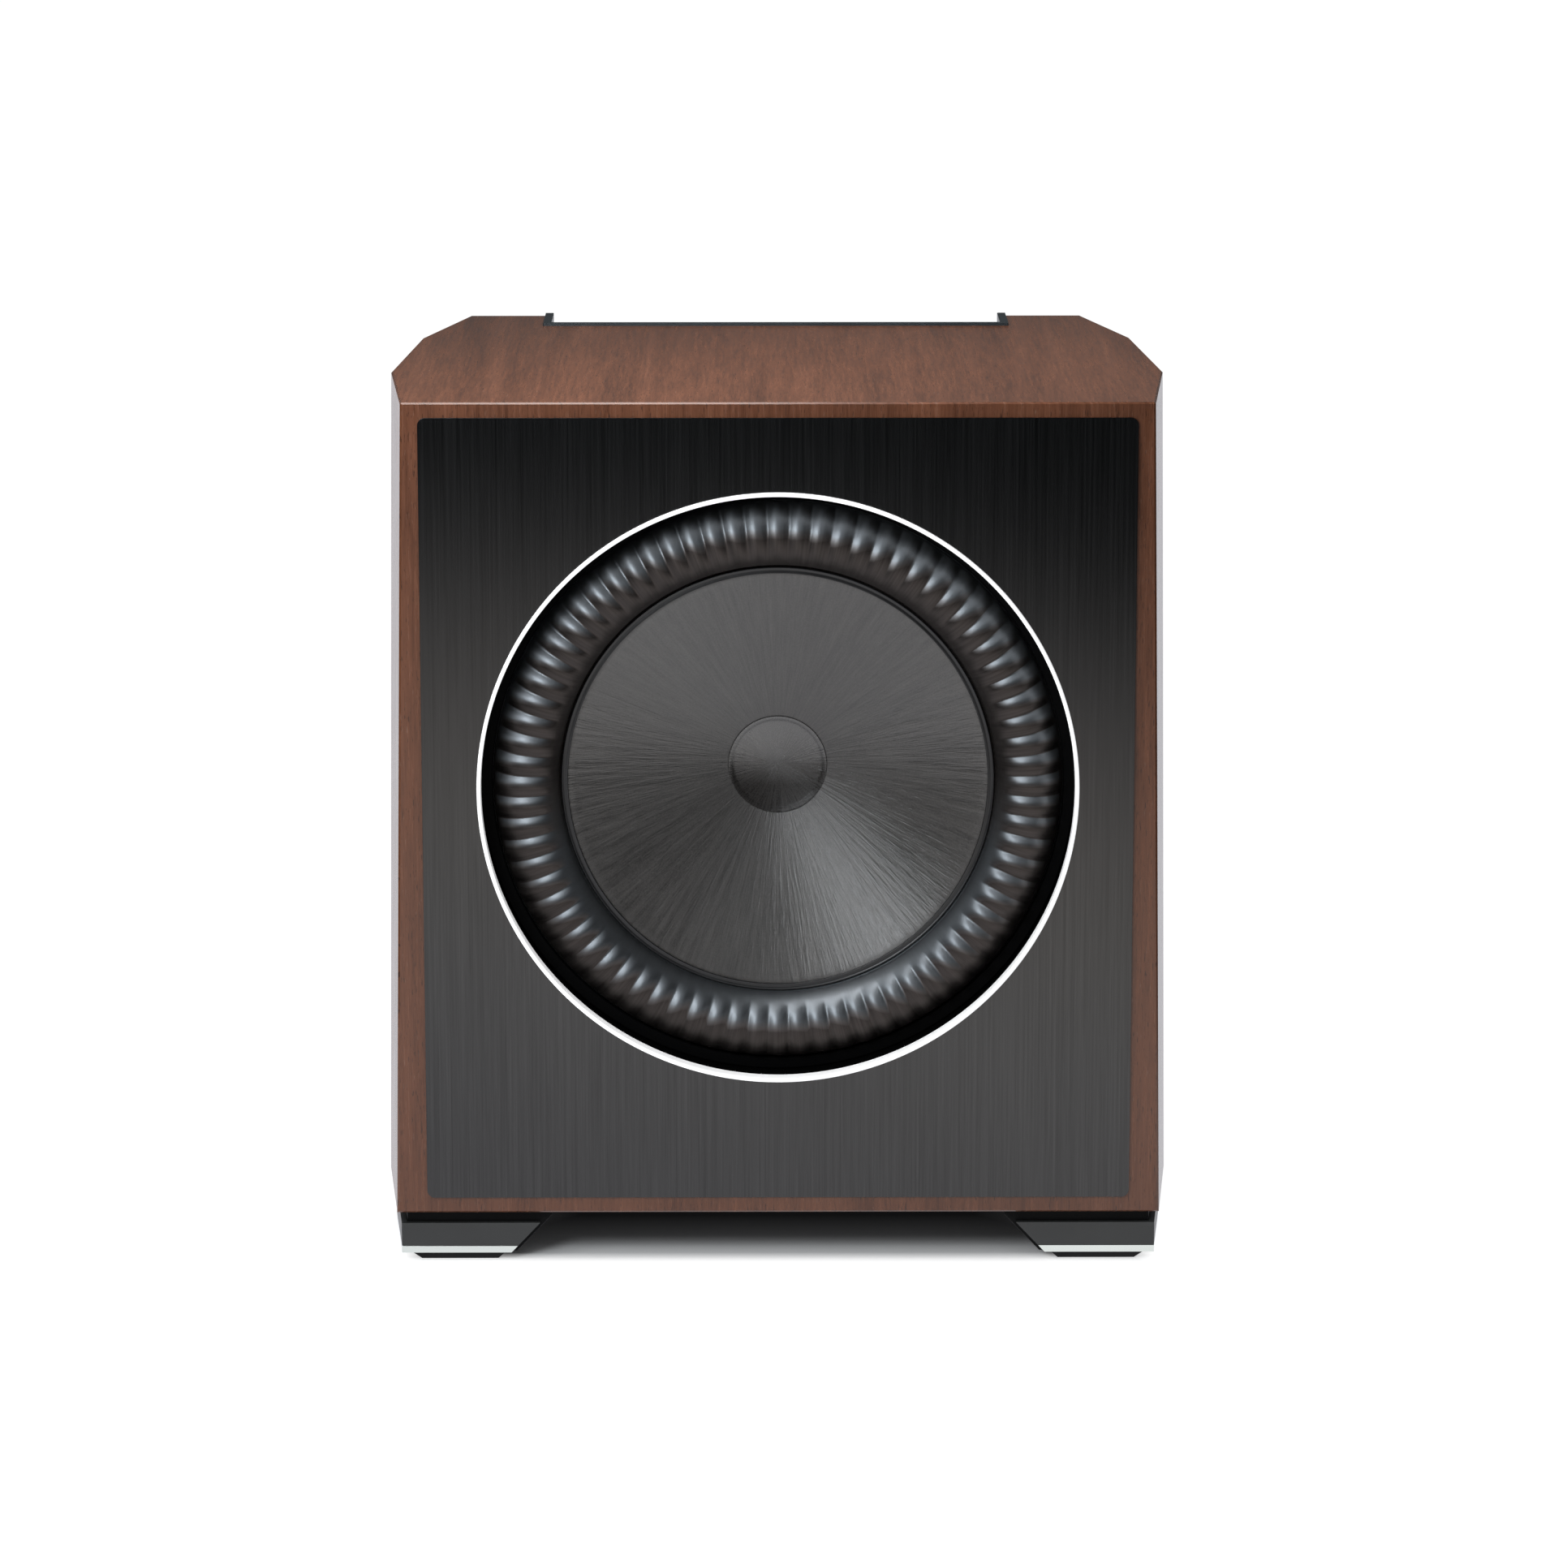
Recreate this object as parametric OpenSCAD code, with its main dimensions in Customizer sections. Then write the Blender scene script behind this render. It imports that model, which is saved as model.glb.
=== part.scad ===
// Active closed-box subwoofer: faceted walnut cabinet on four corner feet,
// brushed front fascia, one ribbed-surround driver, amplifier in an open rear bay.
// Front faces -Y, floor is z = 0, millimetres.

/* [Cabinet] */
// height of the wooden box without its feet
cab_h = 544; // [520:1:580]
// width of the front face at its top edge
front_w_top = 488.6; // [480:0.2:494]
// width of the front face at its bottom edge
front_w_bottom = 507.2; // [500:0.2:512]
// depth of the wooden box, front face to back face
cab_d = 425.5; // [420:0.5:440]
// distance of the widest vertical edge behind the front face
ridge_d = 144; // [130:1:160]
// outward lean of the front side facet in plan, degrees
lean_front = 5.71; // [5:0.01:6.5]
// inward lean of the middle side facet in plan, degrees
lean_mid = 4.05; // [3.5:0.01:4.5]
// inward lean of the rear side facet in plan, degrees
lean_rear = 13.35; // [12.5:0.05:14]
// distance of the rear facet's first edge behind the front face
rear_d = 306.5; // [295:0.5:320]
// thickness of the side panels
side_t = 20; // [18:1:22]
// thickness of the top and bottom panels
slab_t = 24; // [22:1:26]
// thickness of the front baffle
baffle_t = 50; // [48:1:54]
// width of the small polished edge bevel
bevel = 1.1; // [0.8:0.1:1.6]

/* [Fascia] */
// width of the brushed front plate
fascia_w = 466.6; // [460:0.2:470]
// height of the brushed front plate
fascia_h = 523.4; // [515:0.2:526]
// corner radius of the front plate
fascia_r = 5; // [3:0.5:8]
// height of the front plate's lower edge above the box floor
fascia_z = 10.8; // [9:0.2:14]

/* [Driver] */
// height of the driver axis above the box floor
drv_z = 288; // [284:1:292]
// outer radius of the bright trim ring
ring_ro = 197.5; // [197.2:0.1:199]
// inner radius of the bright trim ring
ring_ri = 194.8; // [194.4:0.1:195]
// depth of the flange's front face behind the cabinet face
flange_d = 32; // [30:1:34]
// middle radius of the half-roll surround
roll_r = 165.8; // [165.4:0.1:166]
// half width of the roll
roll_h = 20.6; // [20.2:0.1:20.8]
// depth of the dish in the dust cap
dish = 3.4; // [3:0.1:6]
// depth of the cone's neck behind the cabinet face
neck_d = 80.2; // [78:0.2:82]
// outer radius of the voice-coil former
former_r = 32; // [31.8:0.1:32]
// outer radius of the ferrite rings
magnet_r = 100; // [95:1:104]
// outer radius of the steel plates
plate_r = 92; // [90:1:94]

/* [Rear bay] */
// width of the notch in the top and of the bay below it
bay_w = 330; // [324:1:334]
// depth of the bay
bay_d = 56; // [52:1:58]
// height of the bay's floor above the box floor
bay_z = 66; // [62:1:74]
// number of cooling fins
fin_count = 23; // [15:2:25]

/* [Feet] */
// height of the recessed neck of a foot
neck_h = 8; // [7:0.5:9]
// height of the dark cladding on a foot
clad_h = 16; // [15:0.1:18]
// height of the bright stripe
stripe_h = 4.7; // [4:0.1:6]
// height of the rubber pad
pad_h = 5.3; // [4:0.1:6]

/* [Control knobs] */
// outer radius of a knob
knob_r = 9; // [8:0.5:10]
// length of a knob
knob_l = 14; // [12:1:16]

/* [Hidden] */
$fn = 96;
foot_h = neck_h + clad_h + stripe_h + pad_h;
z0 = foot_h;
z1 = foot_h + cab_h;
ring_p = 4.5;
fascia_p = 1.5;
yf = -(cab_d + ring_p) / 2 + ring_p;
yb = yf + cab_d;
ax_z = z0 + drv_z;
big = 1600;
flare = (front_w_bottom - front_w_top) / 2 / cab_h;
flare_mid = 3.5 / cab_h;
hw_top = front_w_top / 2;
hw_ridge = hw_top + tan(lean_front) * ridge_d;
hw_rear = hw_ridge - tan(lean_mid) * (rear_d - ridge_d);
n_front = [1, -tan(lean_front), flare];
n_mid = [1, tan(lean_mid), flare_mid];
n_rear = [1, tan(lean_rear), flare_mid];
p_front = [hw_top, yf, z1];
p_mid = [hw_ridge, yf + ridge_d, z1];
p_rear = [hw_rear, yf + rear_d, z1];
seat_d = flange_d + 7;
recess_r = 196.5;
flange_r = 195.9;
lip_r = 188;
drv_screw_r = 192.2;
cone_r = 138;
bay_y = yb - bay_d;
tub_t = 12;
rear_t = 18;
bolt_r = 3;
bolt_in = 18;
head_r = 5.5;
head_h = 5;
head_z = 7;
foot_set = 3;
foot_lean = 0.94;
clad_t = 4;
clad_step = 3.5;
throat_r = 184;
pole_r = 30.5;
hub_r = 60;
spider_d = 103.2;
plate_d = 128;
plate_h = 12;
ferrite_h = 20;
magnet_d = plate_d + plate_h;
yoke_d = magnet_d + 2 * ferrite_h;
frame_t = 5.8;
frame_p = 2;
plate_y0 = bay_y;
plate_y1 = bay_y + 4;
plate_z0 = z0 + bay_z + 4;
plate_z1 = z1 - 42;
panel_z = plate_z0;
knob_z = panel_z + 180;
knob_x = [100, 45, -10];
pcb_y = bay_y - 18;
pcb_t = 1.6;
jack_l = plate_y1 - pcb_y - pcb_t;

walnut = [0.36, 0.23, 0.17];
board = [0.62, 0.50, 0.36];
black = [0.05, 0.05, 0.06];
dark = [0.13, 0.14, 0.14];
steel = [0.62, 0.63, 0.65];
bright = [0.92, 0.92, 0.93];

// everything on the outer side of the plane through p with outward normal n
module beyond(p, n) {
    len_n = norm(n);
    translate(p)
        rotate([0, -asin(n[2] / len_n), atan2(n[1], n[0])])
            translate([0, -big / 2, -big / 2])
                cube(big);
}

function unit(v) = v / norm(v);
function flip(v) = [-v[0], v[1], v[2]];
function edge_n(a, b) = unit(a) + unit(b);

// the small bevel between two outer faces meeting at p
module edge_cut(p, a, b) {
    n = unit(edge_n(a, b));
    beyond(p - n * bevel * 0.7, n);
}

module both() {
    children();
    mirror([1, 0, 0])
        children();
}

// everything outside the three facets of the +X side, moved inwards by inset
module facet_cuts(inset) {
    beyond(p_front - unit(n_front) * inset, n_front);
    beyond(p_mid - unit(n_mid) * inset, n_mid);
    beyond(p_rear - unit(n_rear) * inset, n_rear);
}

// the six faceted sides of the box, moved inwards by inset
module side_cuts(inset) {
    both()
        facet_cuts(inset);
}

// the cabinet's outer form, with its small edge bevels
module outer_form() {
    difference() {
        translate([-300, yf, z0])
            cube([600, cab_d, cab_h]);
        side_cuts(0);
        edge_cut([0, yf, z1], [0, -1, 0], [0, 0, 1]);
        edge_cut([0, yf, z0], [0, -1, 0], [0, 0, -1]);
        edge_cut([0, yb, z1], [0, 1, 0], [0, 0, 1]);
        both() {
            edge_cut(p_front, [0, -1, 0], n_front);
            edge_cut(p_front, [0, 0, 1], n_front);
            edge_cut(p_mid, [0, 0, 1], n_mid);
            edge_cut(p_rear, [0, 0, 1], n_rear);
        }
    }
}

// the space inside the side panels
module inner_form(inset, y_a, y_b, z_a, z_b) {
    difference() {
        translate([-300, y_a, z_a])
            cube([600, y_b - y_a, z_b - z_a]);
        side_cuts(inset);
    }
}

module slab(y_a, y_b, z_a, z_b) {
    translate([-300, y_a, z_a])
        cube([600, y_b - y_a, z_b - z_a]);
}

// driver parts: local z is the depth behind the cabinet's front face
module driver() {
    translate([0, yf, ax_z])
        rotate([-90, 0, 0])
            children();
}

module lathe(points, facets = 96) {
    rotate_extrude($fn = facets)
        polygon(points);
}

module tube(r_out, r_in, d_a, d_b) {
    translate([0, 0, d_a])
        difference() {
            cylinder(r = r_out, h = d_b - d_a);
            translate([0, 0, -1])
                cylinder(r = r_in, h = d_b - d_a + 2);
        }
}

module rounded_plate(w, h, t, r) {
    linear_extrude(t)
        union() {
            translate([-w / 2 + r, -h / 2])
                square([w - 2 * r, h]);
            translate([-w / 2, -h / 2 + r])
                square([w, h - 2 * r]);
            for (sx = [-1, 1])
                for (sy = [-1, 1])
                    translate([sx * (w / 2 - r), sy * (h / 2 - r)])
                        circle(r);
        }
}

// ---- cabinet ----

module notch() {
    translate([-bay_w / 2, bay_y, z1 - slab_t - 1])
        cube([bay_w, bay_d + 1, slab_t + 2]);
}

module top_panel() {
    color(walnut)
        difference() {
            intersection() {
                outer_form();
                slab(yf + baffle_t, yb + 1, z1 - slab_t, z1 + 1);
            }
            notch();
        }
}

module bolt_spots() {
    for (sx = [-1, 1])
        for (p = [[226, yf + 22], [216, yf + 54], [190, yb - 22], [190, yb - 48]])
            translate([sx * p[0], p[1], 0])
                children();
}

module bottom_panel() {
    color(walnut)
        difference() {
            intersection() {
                outer_form();
                slab(yf + baffle_t, yb + 1, z0 - 1, z0 + slab_t);
            }
            bolt_spots()
                translate([0, 0, z0 - 1])
                    cylinder(r = bolt_r, h = bolt_in + 3);
        }
}

module side_panel() {
    difference() {
        intersection() {
            outer_form();
            slab(yf + baffle_t, yb - rear_t, z0 + slab_t, z1 - slab_t);
            translate([0, -big / 2, -1])
                cube(big);
        }
        inner_form(side_t, yf, yb, z0, z1);
    }
}

module side_right() {
    color(walnut)
        side_panel();
}

module side_left() {
    color(walnut)
        mirror([1, 0, 0])
            side_panel();
}

module screw_circle(count, r) {
    for (i = [0:count - 1])
        rotate([0, 0, (i + 0.5) * 360 / count])
            translate([r, 0, 0])
                children();
}

module fascia_shape(w, h, t) {
    translate([0, yf, z0 + fascia_z + fascia_h / 2])
        rotate([90, 0, 0])
            rounded_plate(w, h, t, fascia_r);
}

module front_baffle() {
    color(walnut)
        difference() {
            intersection() {
                outer_form();
                slab(yf - 1, yf + baffle_t, z0 - 1, z1 + 1);
            }
            translate([0, 1.5, 0])
                fascia_shape(fascia_w, fascia_h, 10);
            driver() {
                translate([0, 0, -5])
                    cylinder(r = recess_r, h = seat_d + 5);
                cylinder(r = throat_r, h = baffle_t + 5);
                screw_circle(8, drv_screw_r)
                    translate([0, 0, seat_d - 1])
                        cylinder(r = 2, h = 10.2, $fn = 32);
            }
            bolt_spots()
                translate([0, 0, z0 - 1])
                    cylinder(r = bolt_r, h = bolt_in + 3);
        }
}

module rear_panel() {
    color(walnut)
        difference() {
            intersection() {
                outer_form();
                slab(yb - rear_t, yb + 1, z0 + slab_t, z1 - slab_t);
            }
            translate([-bay_w / 2, yb - rear_t - 2, z0 + bay_z])
                cube([bay_w, 30, cab_h]);
        }
}

module amp_screw_spots() {
    for (sx = [-1, 1])
        for (i = [0:4])
            translate([sx * 151, bay_y, plate_z0 + 8 + i * (plate_z1 - plate_z0 - 16) / 4])
                rotate([-90, 0, 0])
                    children();
}

module amp_bay_tub() {
    z_b = z0 + bay_z;
    z_t = z1 - slab_t;
    color(board)
        difference() {
            translate([-bay_w / 2 - tub_t, bay_y - tub_t, z_b - tub_t])
                cube([bay_w + 2 * tub_t, bay_d + tub_t - rear_t, z_t - z_b + tub_t]);
            translate([-bay_w / 2, bay_y, z_b])
                cube([bay_w, bay_d, cab_h]);
            translate([-138, bay_y - tub_t - 1, plate_z0 + 14])
                cube([276, tub_t + 2, plate_z1 - plate_z0 - 28]);
            amp_screw_spots()
                translate([0, 0, -10])
                    cylinder(r = 2, h = 11, $fn = 32);
        }
}

module window_brace() {
    y_a = 4;
    color(board)
        difference() {
            inner_form(side_t, y_a, y_a + 18, z0 + slab_t, z1 - slab_t);
            for (sx = [-1, 1])
                for (z = [z0 + slab_t + 38, z0 + cab_h / 2 + 14])
                    translate([sx * 106 - 88, y_a - 1, z])
                        cube([176, 20, 184]);
        }
}

module wadding() {
    color([0.86, 0.85, 0.80])
        difference() {
            inner_form(side_t + 2, 30, 120, z0 + slab_t + 6, z1 - slab_t - 6);
            inner_form(side_t + 20, 29, 121, z0 + slab_t, z1 - slab_t);
        }
}

module front_fascia() {
    color([0.16, 0.17, 0.18])
        difference() {
            translate([0, 1.5, 0])
                fascia_shape(fascia_w, fascia_h, 1.5 + fascia_p);
            driver()
                translate([0, 0, -10])
                    cylinder(r = recess_r, h = 20);
        }
}

module amp_bay_frame() {
    z_a = z1 - 38;
    h = 38 + frame_p;
    color(dark)
        union() {
            translate([-bay_w / 2, bay_y, z_a])
                cube([bay_w, frame_t, h]);
            for (sx = [-1, 1])
                translate([sx * (bay_w / 2 - frame_t / 2) - frame_t / 2, bay_y, z_a])
                    cube([frame_t, bay_d, h]);
        }
}

// ---- feet ----

// plan of one front foot and one rear foot, both on the +X side
front_plan = [[251, yf + foot_set], [147.5, yf + foot_set], [200, yf + 72],
    [222, yf + 108], [262, yf + 108]];
rear_plan = [[215.5, yb - foot_set], [125, yb - foot_set], [172, yb - 68],
    [196, yb - 96], [241, yb - 96]];

// a foot's block between two heights; the inner end and the far end lean in
module foot_block(plan, dir, z_a, z_b, step) {
    x_in = plan[1][0];
    y_end = plan[3][1];
    difference() {
        translate([0, 0, z_a])
            linear_extrude(z_b - z_a)
                polygon(plan);
        beyond([x_in + step, 0, z0], [-1, 0, -foot_lean]);
        beyond([0, y_end - dir * step, z0], [0, dir, -foot_lean]);
        facet_cuts(foot_set);
    }
}

module foot_core_one(plan, dir) {
    z_s = pad_h;
    y_face = plan[0][1];
    difference() {
        foot_block(plan, dir, z_s, z0, 0);
        // the recess of the neck and the seat of the cladding and stripe
        translate([0, 0, z_s - 1])
            linear_extrude(foot_h)
                polygon([[400, y_face - dir * 50], [100, y_face - dir * 50],
                    [100, y_face + dir * clad_t], [400, y_face + dir * clad_t]]);
        facet_cuts(foot_set + clad_t);
    }
}

module foot_shell_one(plan, dir, z_a, z_b) {
    y_face = plan[0][1];
    difference() {
        foot_block(plan, dir, z_a, z_b, clad_step);
        difference() {
            translate([0, y_face + dir * clad_t - (dir > 0 ? 0 : 300), z_a - 1])
                cube([400, 300, z_b - z_a + 2]);
            facet_cuts(foot_set + clad_t);
        }
    }
}

module foot_bolt_bores(r, z_a, z_b) {
    bolt_spots()
        translate([0, 0, z_a])
            cylinder(r = r, h = z_b - z_a, $fn = 48);
}

module foot_cores() {
    color(black)
        difference() {
            both() {
                foot_core_one(front_plan, 1);
                foot_core_one(rear_plan, -1);
            }
            foot_bolt_bores(bolt_r + 0.3, 0, z0 + 1);
            foot_bolt_bores(head_r + 1, 0, pad_h + head_z);
        }
}

module foot_claddings() {
    color(dark)
        both() {
            foot_shell_one(front_plan, 1, pad_h + stripe_h, z0 - neck_h);
            foot_shell_one(rear_plan, -1, pad_h + stripe_h, z0 - neck_h);
        }
}

module foot_stripes() {
    color(bright)
        both() {
            foot_shell_one(front_plan, 1, pad_h, pad_h + stripe_h);
            foot_shell_one(rear_plan, -1, pad_h, pad_h + stripe_h);
        }
}

module foot_pad_one(plan, dir) {
    x_a = plan[1][0] + 34;
    x_b = plan[0][0] - 6;
    y_a = plan[0][1] + dir * 3;
    d = dir > 0 ? 62 : 56;
    y_b = y_a + dir * d;
    difference() {
        translate([x_a, min(y_a, y_b), 0])
            cube([x_b - x_a, d, pad_h]);
        beyond([x_a, 0, pad_h], [-1, 0, -1]);
        beyond([x_b, 0, pad_h], [1, 0, -1.3]);
        beyond([0, y_a, pad_h], [0, -dir, -0.4]);
        beyond([0, y_b, pad_h], [0, dir, -1]);
    }
}

module foot_pads() {
    color([0.09, 0.09, 0.10])
        both() {
            foot_pad_one(front_plan, 1);
            foot_pad_one(rear_plan, -1);
        }
}

module foot_bolts() {
    color(steel)
        bolt_spots() {
            translate([0, 0, pad_h + head_z])
                cylinder(r = bolt_r, h = foot_h - pad_h - head_z + bolt_in, $fn = 48);
            translate([0, 0, pad_h + head_z - head_h])
                difference() {
                    cylinder(r = head_r, h = head_h, $fn = 48);
                    translate([0, 0, -1])
                        cylinder(r = 2.4, h = 4, $fn = 6);
                }
        }
}

// ---- driver ----

module trim_ring() {
    f = -fascia_p;
    color(bright)
        driver()
            rotate_extrude($fn = 180)
                polygon([[ring_ri, 6], [ring_ri, -3.6], [ring_ri + 0.9, -ring_p],
                    [ring_ro - 0.9, -ring_p], [ring_ro, -3.6], [ring_ro, f],
                    [recess_r - 0.1, f], [recess_r - 0.1, 6]]);
}

module flange_cover() {
    f = flange_d;
    color(black)
        driver()
            lathe([[lip_r + 0.3, f], [lip_r + 0.3, f - 5.5], [196.2, f - 5.5], [196.2, f],
                [195.6, f], [195.6, f - 3.4], [lip_r + 0.9, f - 3.4], [lip_r + 0.9, f]], 180);
}

module driver_gasket() {
    color([0.10, 0.10, 0.10])
        driver()
            difference() {
                tube(flange_r, throat_r + 0.4, seat_d - 1, seat_d);
                screw_circle(8, drv_screw_r)
                    translate([0, 0, seat_d - 5])
                        cylinder(r = 2.3, h = 10, $fn = 32);
            }
}

// one straight bar of the basket between two depths
module basket_bar(side) {
    r_a = 178;
    d_a = 48;
    r_b = 97;
    d_b = 110;
    run = r_a - r_b;
    fall = d_b - d_a;
    translate([r_b, side * 9, d_b])
        rotate([0, atan2(run, -fall), 0])
            translate([-4, -4, 0])
                cube([8, 8, norm([run, fall])]);
}

module basket() {
    color([0.20, 0.21, 0.22])
        driver()
            difference() {
                union() {
                    tube(flange_r, 181.9, flange_d, seat_d - 1);
                    tube(throat_r - 0.6, 174, seat_d - 2, 56);
                    lathe([[86, spider_d + 1.2], [98, spider_d + 1.2], [98, plate_d],
                        [hub_r, plate_d], [hub_r, 121], [90, 121], [90, 108], [80, 108],
                        [80, spider_d + 1.2]]);
                    for (i = [0:5])
                        rotate([0, 0, 30 + i * 60])
                            for (side = [-1, 1])
                                basket_bar(side);
                    rotate([0, 0, 180])
                        translate([108, -11, 107])
                            cube([18, 22, 4]);
                    rotate([0, 0, 180])
                        translate([90, -11, 107])
                            cube([20, 22, 4]);
                }
                translate([0, 0, 56])
                    difference() {
                        cylinder(r = 220, h = 80);
                        translate([0, 0, -1])
                            cylinder(r = throat_r - 0.6, h = 90);
                    }
                screw_circle(8, drv_screw_r)
                    translate([0, 0, 20])
                        cylinder(r = 2.3, h = 40, $fn = 32);
                cylinder(r = hub_r, h = 200);
                translate([0, 0, 100])
                    tube(90, hub_r, 0, 21);
                translate([0, 0, 60])
                    cylinder(r = 80, h = 61);
                screw_circle(8, 96)
                    translate([0, 0, 114.5])
                        rotate([0, 90, 0])
                            cylinder(r = 4.5, h = 30, center = true, $fn = 48);
            }
}

module driver_screws() {
    color([0.12, 0.12, 0.13])
        driver()
            screw_circle(8, drv_screw_r) {
                translate([0, 0, flange_d - 3])
                    difference() {
                        cylinder(r = 3.1, h = 3, $fn = 32);
                        translate([0, 0, -1])
                            cylinder(r = 1.6, h = 3, $fn = 6);
                    }
                translate([0, 0, flange_d])
                    cylinder(r = 2, h = 15, $fn = 32);
            }
}

// depth of the cone's front face at a radius
function cone_depth(r) = neck_d + (33.1 - r) * (neck_d - flange_d) / (cone_r - 33.1);

// half-round rubber roll with a flat lip on each side
module surround() {
    t = 0.8;
    f = flange_d;
    color([0.07, 0.07, 0.08])
        driver()
            rotate_extrude($fn = 152)
                union() {
                    translate([roll_r, f - 1.2])
                        difference() {
                            circle(r = roll_h + t, $fn = 64);
                            circle(r = roll_h - t, $fn = 64);
                            translate([-40, 0])
                                square([80, 40]);
                        }
                    translate([roll_r + roll_h - t, f - 1.2])
                        square([lip_r - roll_r - roll_h + t, 1.2]);
                    translate([139.5, f - 1.2])
                        square([roll_r - roll_h + t - 139.5, 1.2]);
                }
}

module cone_rim() {
    f = flange_d - 1.2;
    color([0.06, 0.06, 0.07])
        driver()
            lathe([[138.6, f], [139, f - 1.6], [142.4, f - 1.6], [143.2, f]]);
}

module cone() {
    f = flange_d;
    color([0.35, 0.34, 0.33])
        driver()
            lathe([[former_r, neck_d + 3], [former_r, cone_depth(former_r)],
                [cone_r, f], [143.5, f], [143.5, f + 1.6], [139, f + 1.6],
                [36, neck_d + 3]], 152);
}

// shallow dish inside a thin lip that lies on the cone
module dust_cap() {
    r = 28.9;
    lip = 33;
    ball = (r * r + dish * dish) / (2 * dish);
    edge_d = cone_depth(r) - 1;
    color([0.38, 0.37, 0.36])
        driver()
            rotate_extrude($fn = 152)
                union() {
                    polygon([[r - 0.4, cone_depth(r - 0.4)], [r - 0.4, edge_d],
                        [r, edge_d], [lip, cone_depth(lip) - 1], [lip, cone_depth(lip)]]);
                    intersection() {
                        translate([0, edge_d + dish - ball])
                            difference() {
                                circle(r = ball + 1, $fn = 360);
                                circle(r = ball, $fn = 360);
                            }
                        translate([0, edge_d])
                            square([r, 20]);
                    }
                }
}

module coil_former() {
    color([0.72, 0.55, 0.30])
        driver()
            tube(former_r, former_r - 0.4, cone_depth(former_r - 0.4) + 0.1, 156);
}

module voice_coil() {
    color([0.72, 0.38, 0.16])
        driver()
            tube(former_r + 1.4, former_r, 114, 154);
}

module spider() {
    color([0.75, 0.62, 0.28])
        driver()
            tube(88, former_r, spider_d, spider_d + 1.2);
}

module top_plate() {
    color(steel)
        driver()
            tube(plate_r, former_r + 2.2, plate_d, magnet_d);
}

module magnets() {
    color([0.16, 0.16, 0.17])
        driver() {
            tube(magnet_r, hub_r, magnet_d, magnet_d + ferrite_h - 0.1);
            tube(magnet_r, hub_r, magnet_d + ferrite_h, yoke_d);
        }
}

module yoke() {
    color(steel)
        driver()
            difference() {
                union() {
                    translate([0, 0, yoke_d])
                        cylinder(r = plate_r, h = 14);
                    translate([0, 0, plate_d - 2])
                        cylinder(r = pole_r, h = yoke_d - plate_d + 8);
                }
                translate([0, 0, 100])
                    cylinder(r = 12, h = 120);
            }
}

module shorting_ring() {
    color([0.80, 0.46, 0.24])
        driver()
            tube(hub_r - 3, pole_r, yoke_d - 6, yoke_d);
}

module terminal_block() {
    color([0.10, 0.10, 0.11])
        driver()
            rotate([0, 0, 180])
                difference() {
                    translate([110, -10, 99])
                        cube([15, 20, 8]);
                    for (y = [-5, 5])
                        translate([122, y - 1.4, 101])
                            cube([5, 2.8, 3]);
                }
}

module tinsel_leads() {
    color([0.78, 0.52, 0.30])
        driver()
            rotate([0, 0, 180])
                for (y = [-5, 5])
                    translate([37, y, 97])
                        rotate([0, 90, 0])
                            cylinder(r = 1, h = 71, $fn = 24);
}

// a round cable laid along a list of points
module cable(points, r) {
    for (i = [0:len(points) - 2]) {
        a = points[i];
        v = points[i + 1] - a;
        translate(a)
            rotate([0, acos(v[2] / norm(v)), atan2(v[1], v[0])])
                cylinder(r = r, h = norm(v), $fn = 24);
    }
    for (i = [1:len(points) - 2])
        translate(points[i])
            sphere(r = r + 0.12, $fn = 24);
}

module speaker_cable() {
    color([0.08, 0.08, 0.09])
        for (dz = [-5, 5])
            cable([[-125, yf + 102.5, ax_z + dz], [-150, yf + 102.5, ax_z + dz],
                [-158, -40, ax_z + 60 + dz], [-150, 30, ax_z + 80 + dz],
                [-100, 40, ax_z + 80 + dz], [-100, bay_y - 90, ax_z + 80 + dz]], 2);
}

// ---- amplifier ----

module on_plate(x, z) {
    translate([x, plate_y1, z])
        rotate([-90, 0, 0])
            children();
}

rca_spots = [[118, panel_z + 128], [92, panel_z + 128], [118, panel_z + 98], [92, panel_z + 98]];
xlr_at = [42, panel_z + 113];
trig_at = [-8, panel_z + 113];
inlet_at = [-100, panel_z + 46];
rocker_at = [-30, panel_z + 46];
mode_at = [-62, knob_z];
led_at = [-105, knob_z];
led_r = 2.5;

module inlet_cut(grow) {
    translate([inlet_at[0] - 24 - grow, -60, inlet_at[1] - 13 - grow])
        cube([48 + 2 * grow, 300, 26 + 2 * grow]);
}

module amp_plate() {
    color([0.11, 0.11, 0.12])
        difference() {
            translate([-157, plate_y0, plate_z0])
                cube([314, 4, plate_z1 - plate_z0]);
            amp_screw_spots()
                translate([0, 0, -1])
                    cylinder(r = 2.2, h = 10, $fn = 32);
            for (x = knob_x)
                on_plate(x, knob_z)
                    translate([0, 0, -10])
                        cylinder(r = 3.6, h = 20, $fn = 48);
            for (p = rca_spots)
                on_plate(p[0], p[1])
                    translate([0, 0, -10])
                        cylinder(r = 5, h = 20, $fn = 48);
            on_plate(xlr_at[0], xlr_at[1])
                translate([0, 0, -10])
                    cylinder(r = 12, h = 20);
            on_plate(trig_at[0], trig_at[1])
                translate([0, 0, -10])
                    cylinder(r = 4, h = 20, $fn = 48);
            on_plate(led_at[0], led_at[1])
                translate([0, 0, -10])
                    cylinder(r = led_r, h = 20, $fn = 48);
            inlet_cut(0);
            translate([rocker_at[0] - 13.5, plate_y0 - 1, rocker_at[1] - 10])
                cube([27, 10, 20]);
            translate([mode_at[0] - 6, plate_y0 - 1, mode_at[1] - 3])
                cube([12, 10, 6]);
        }
}

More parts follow.
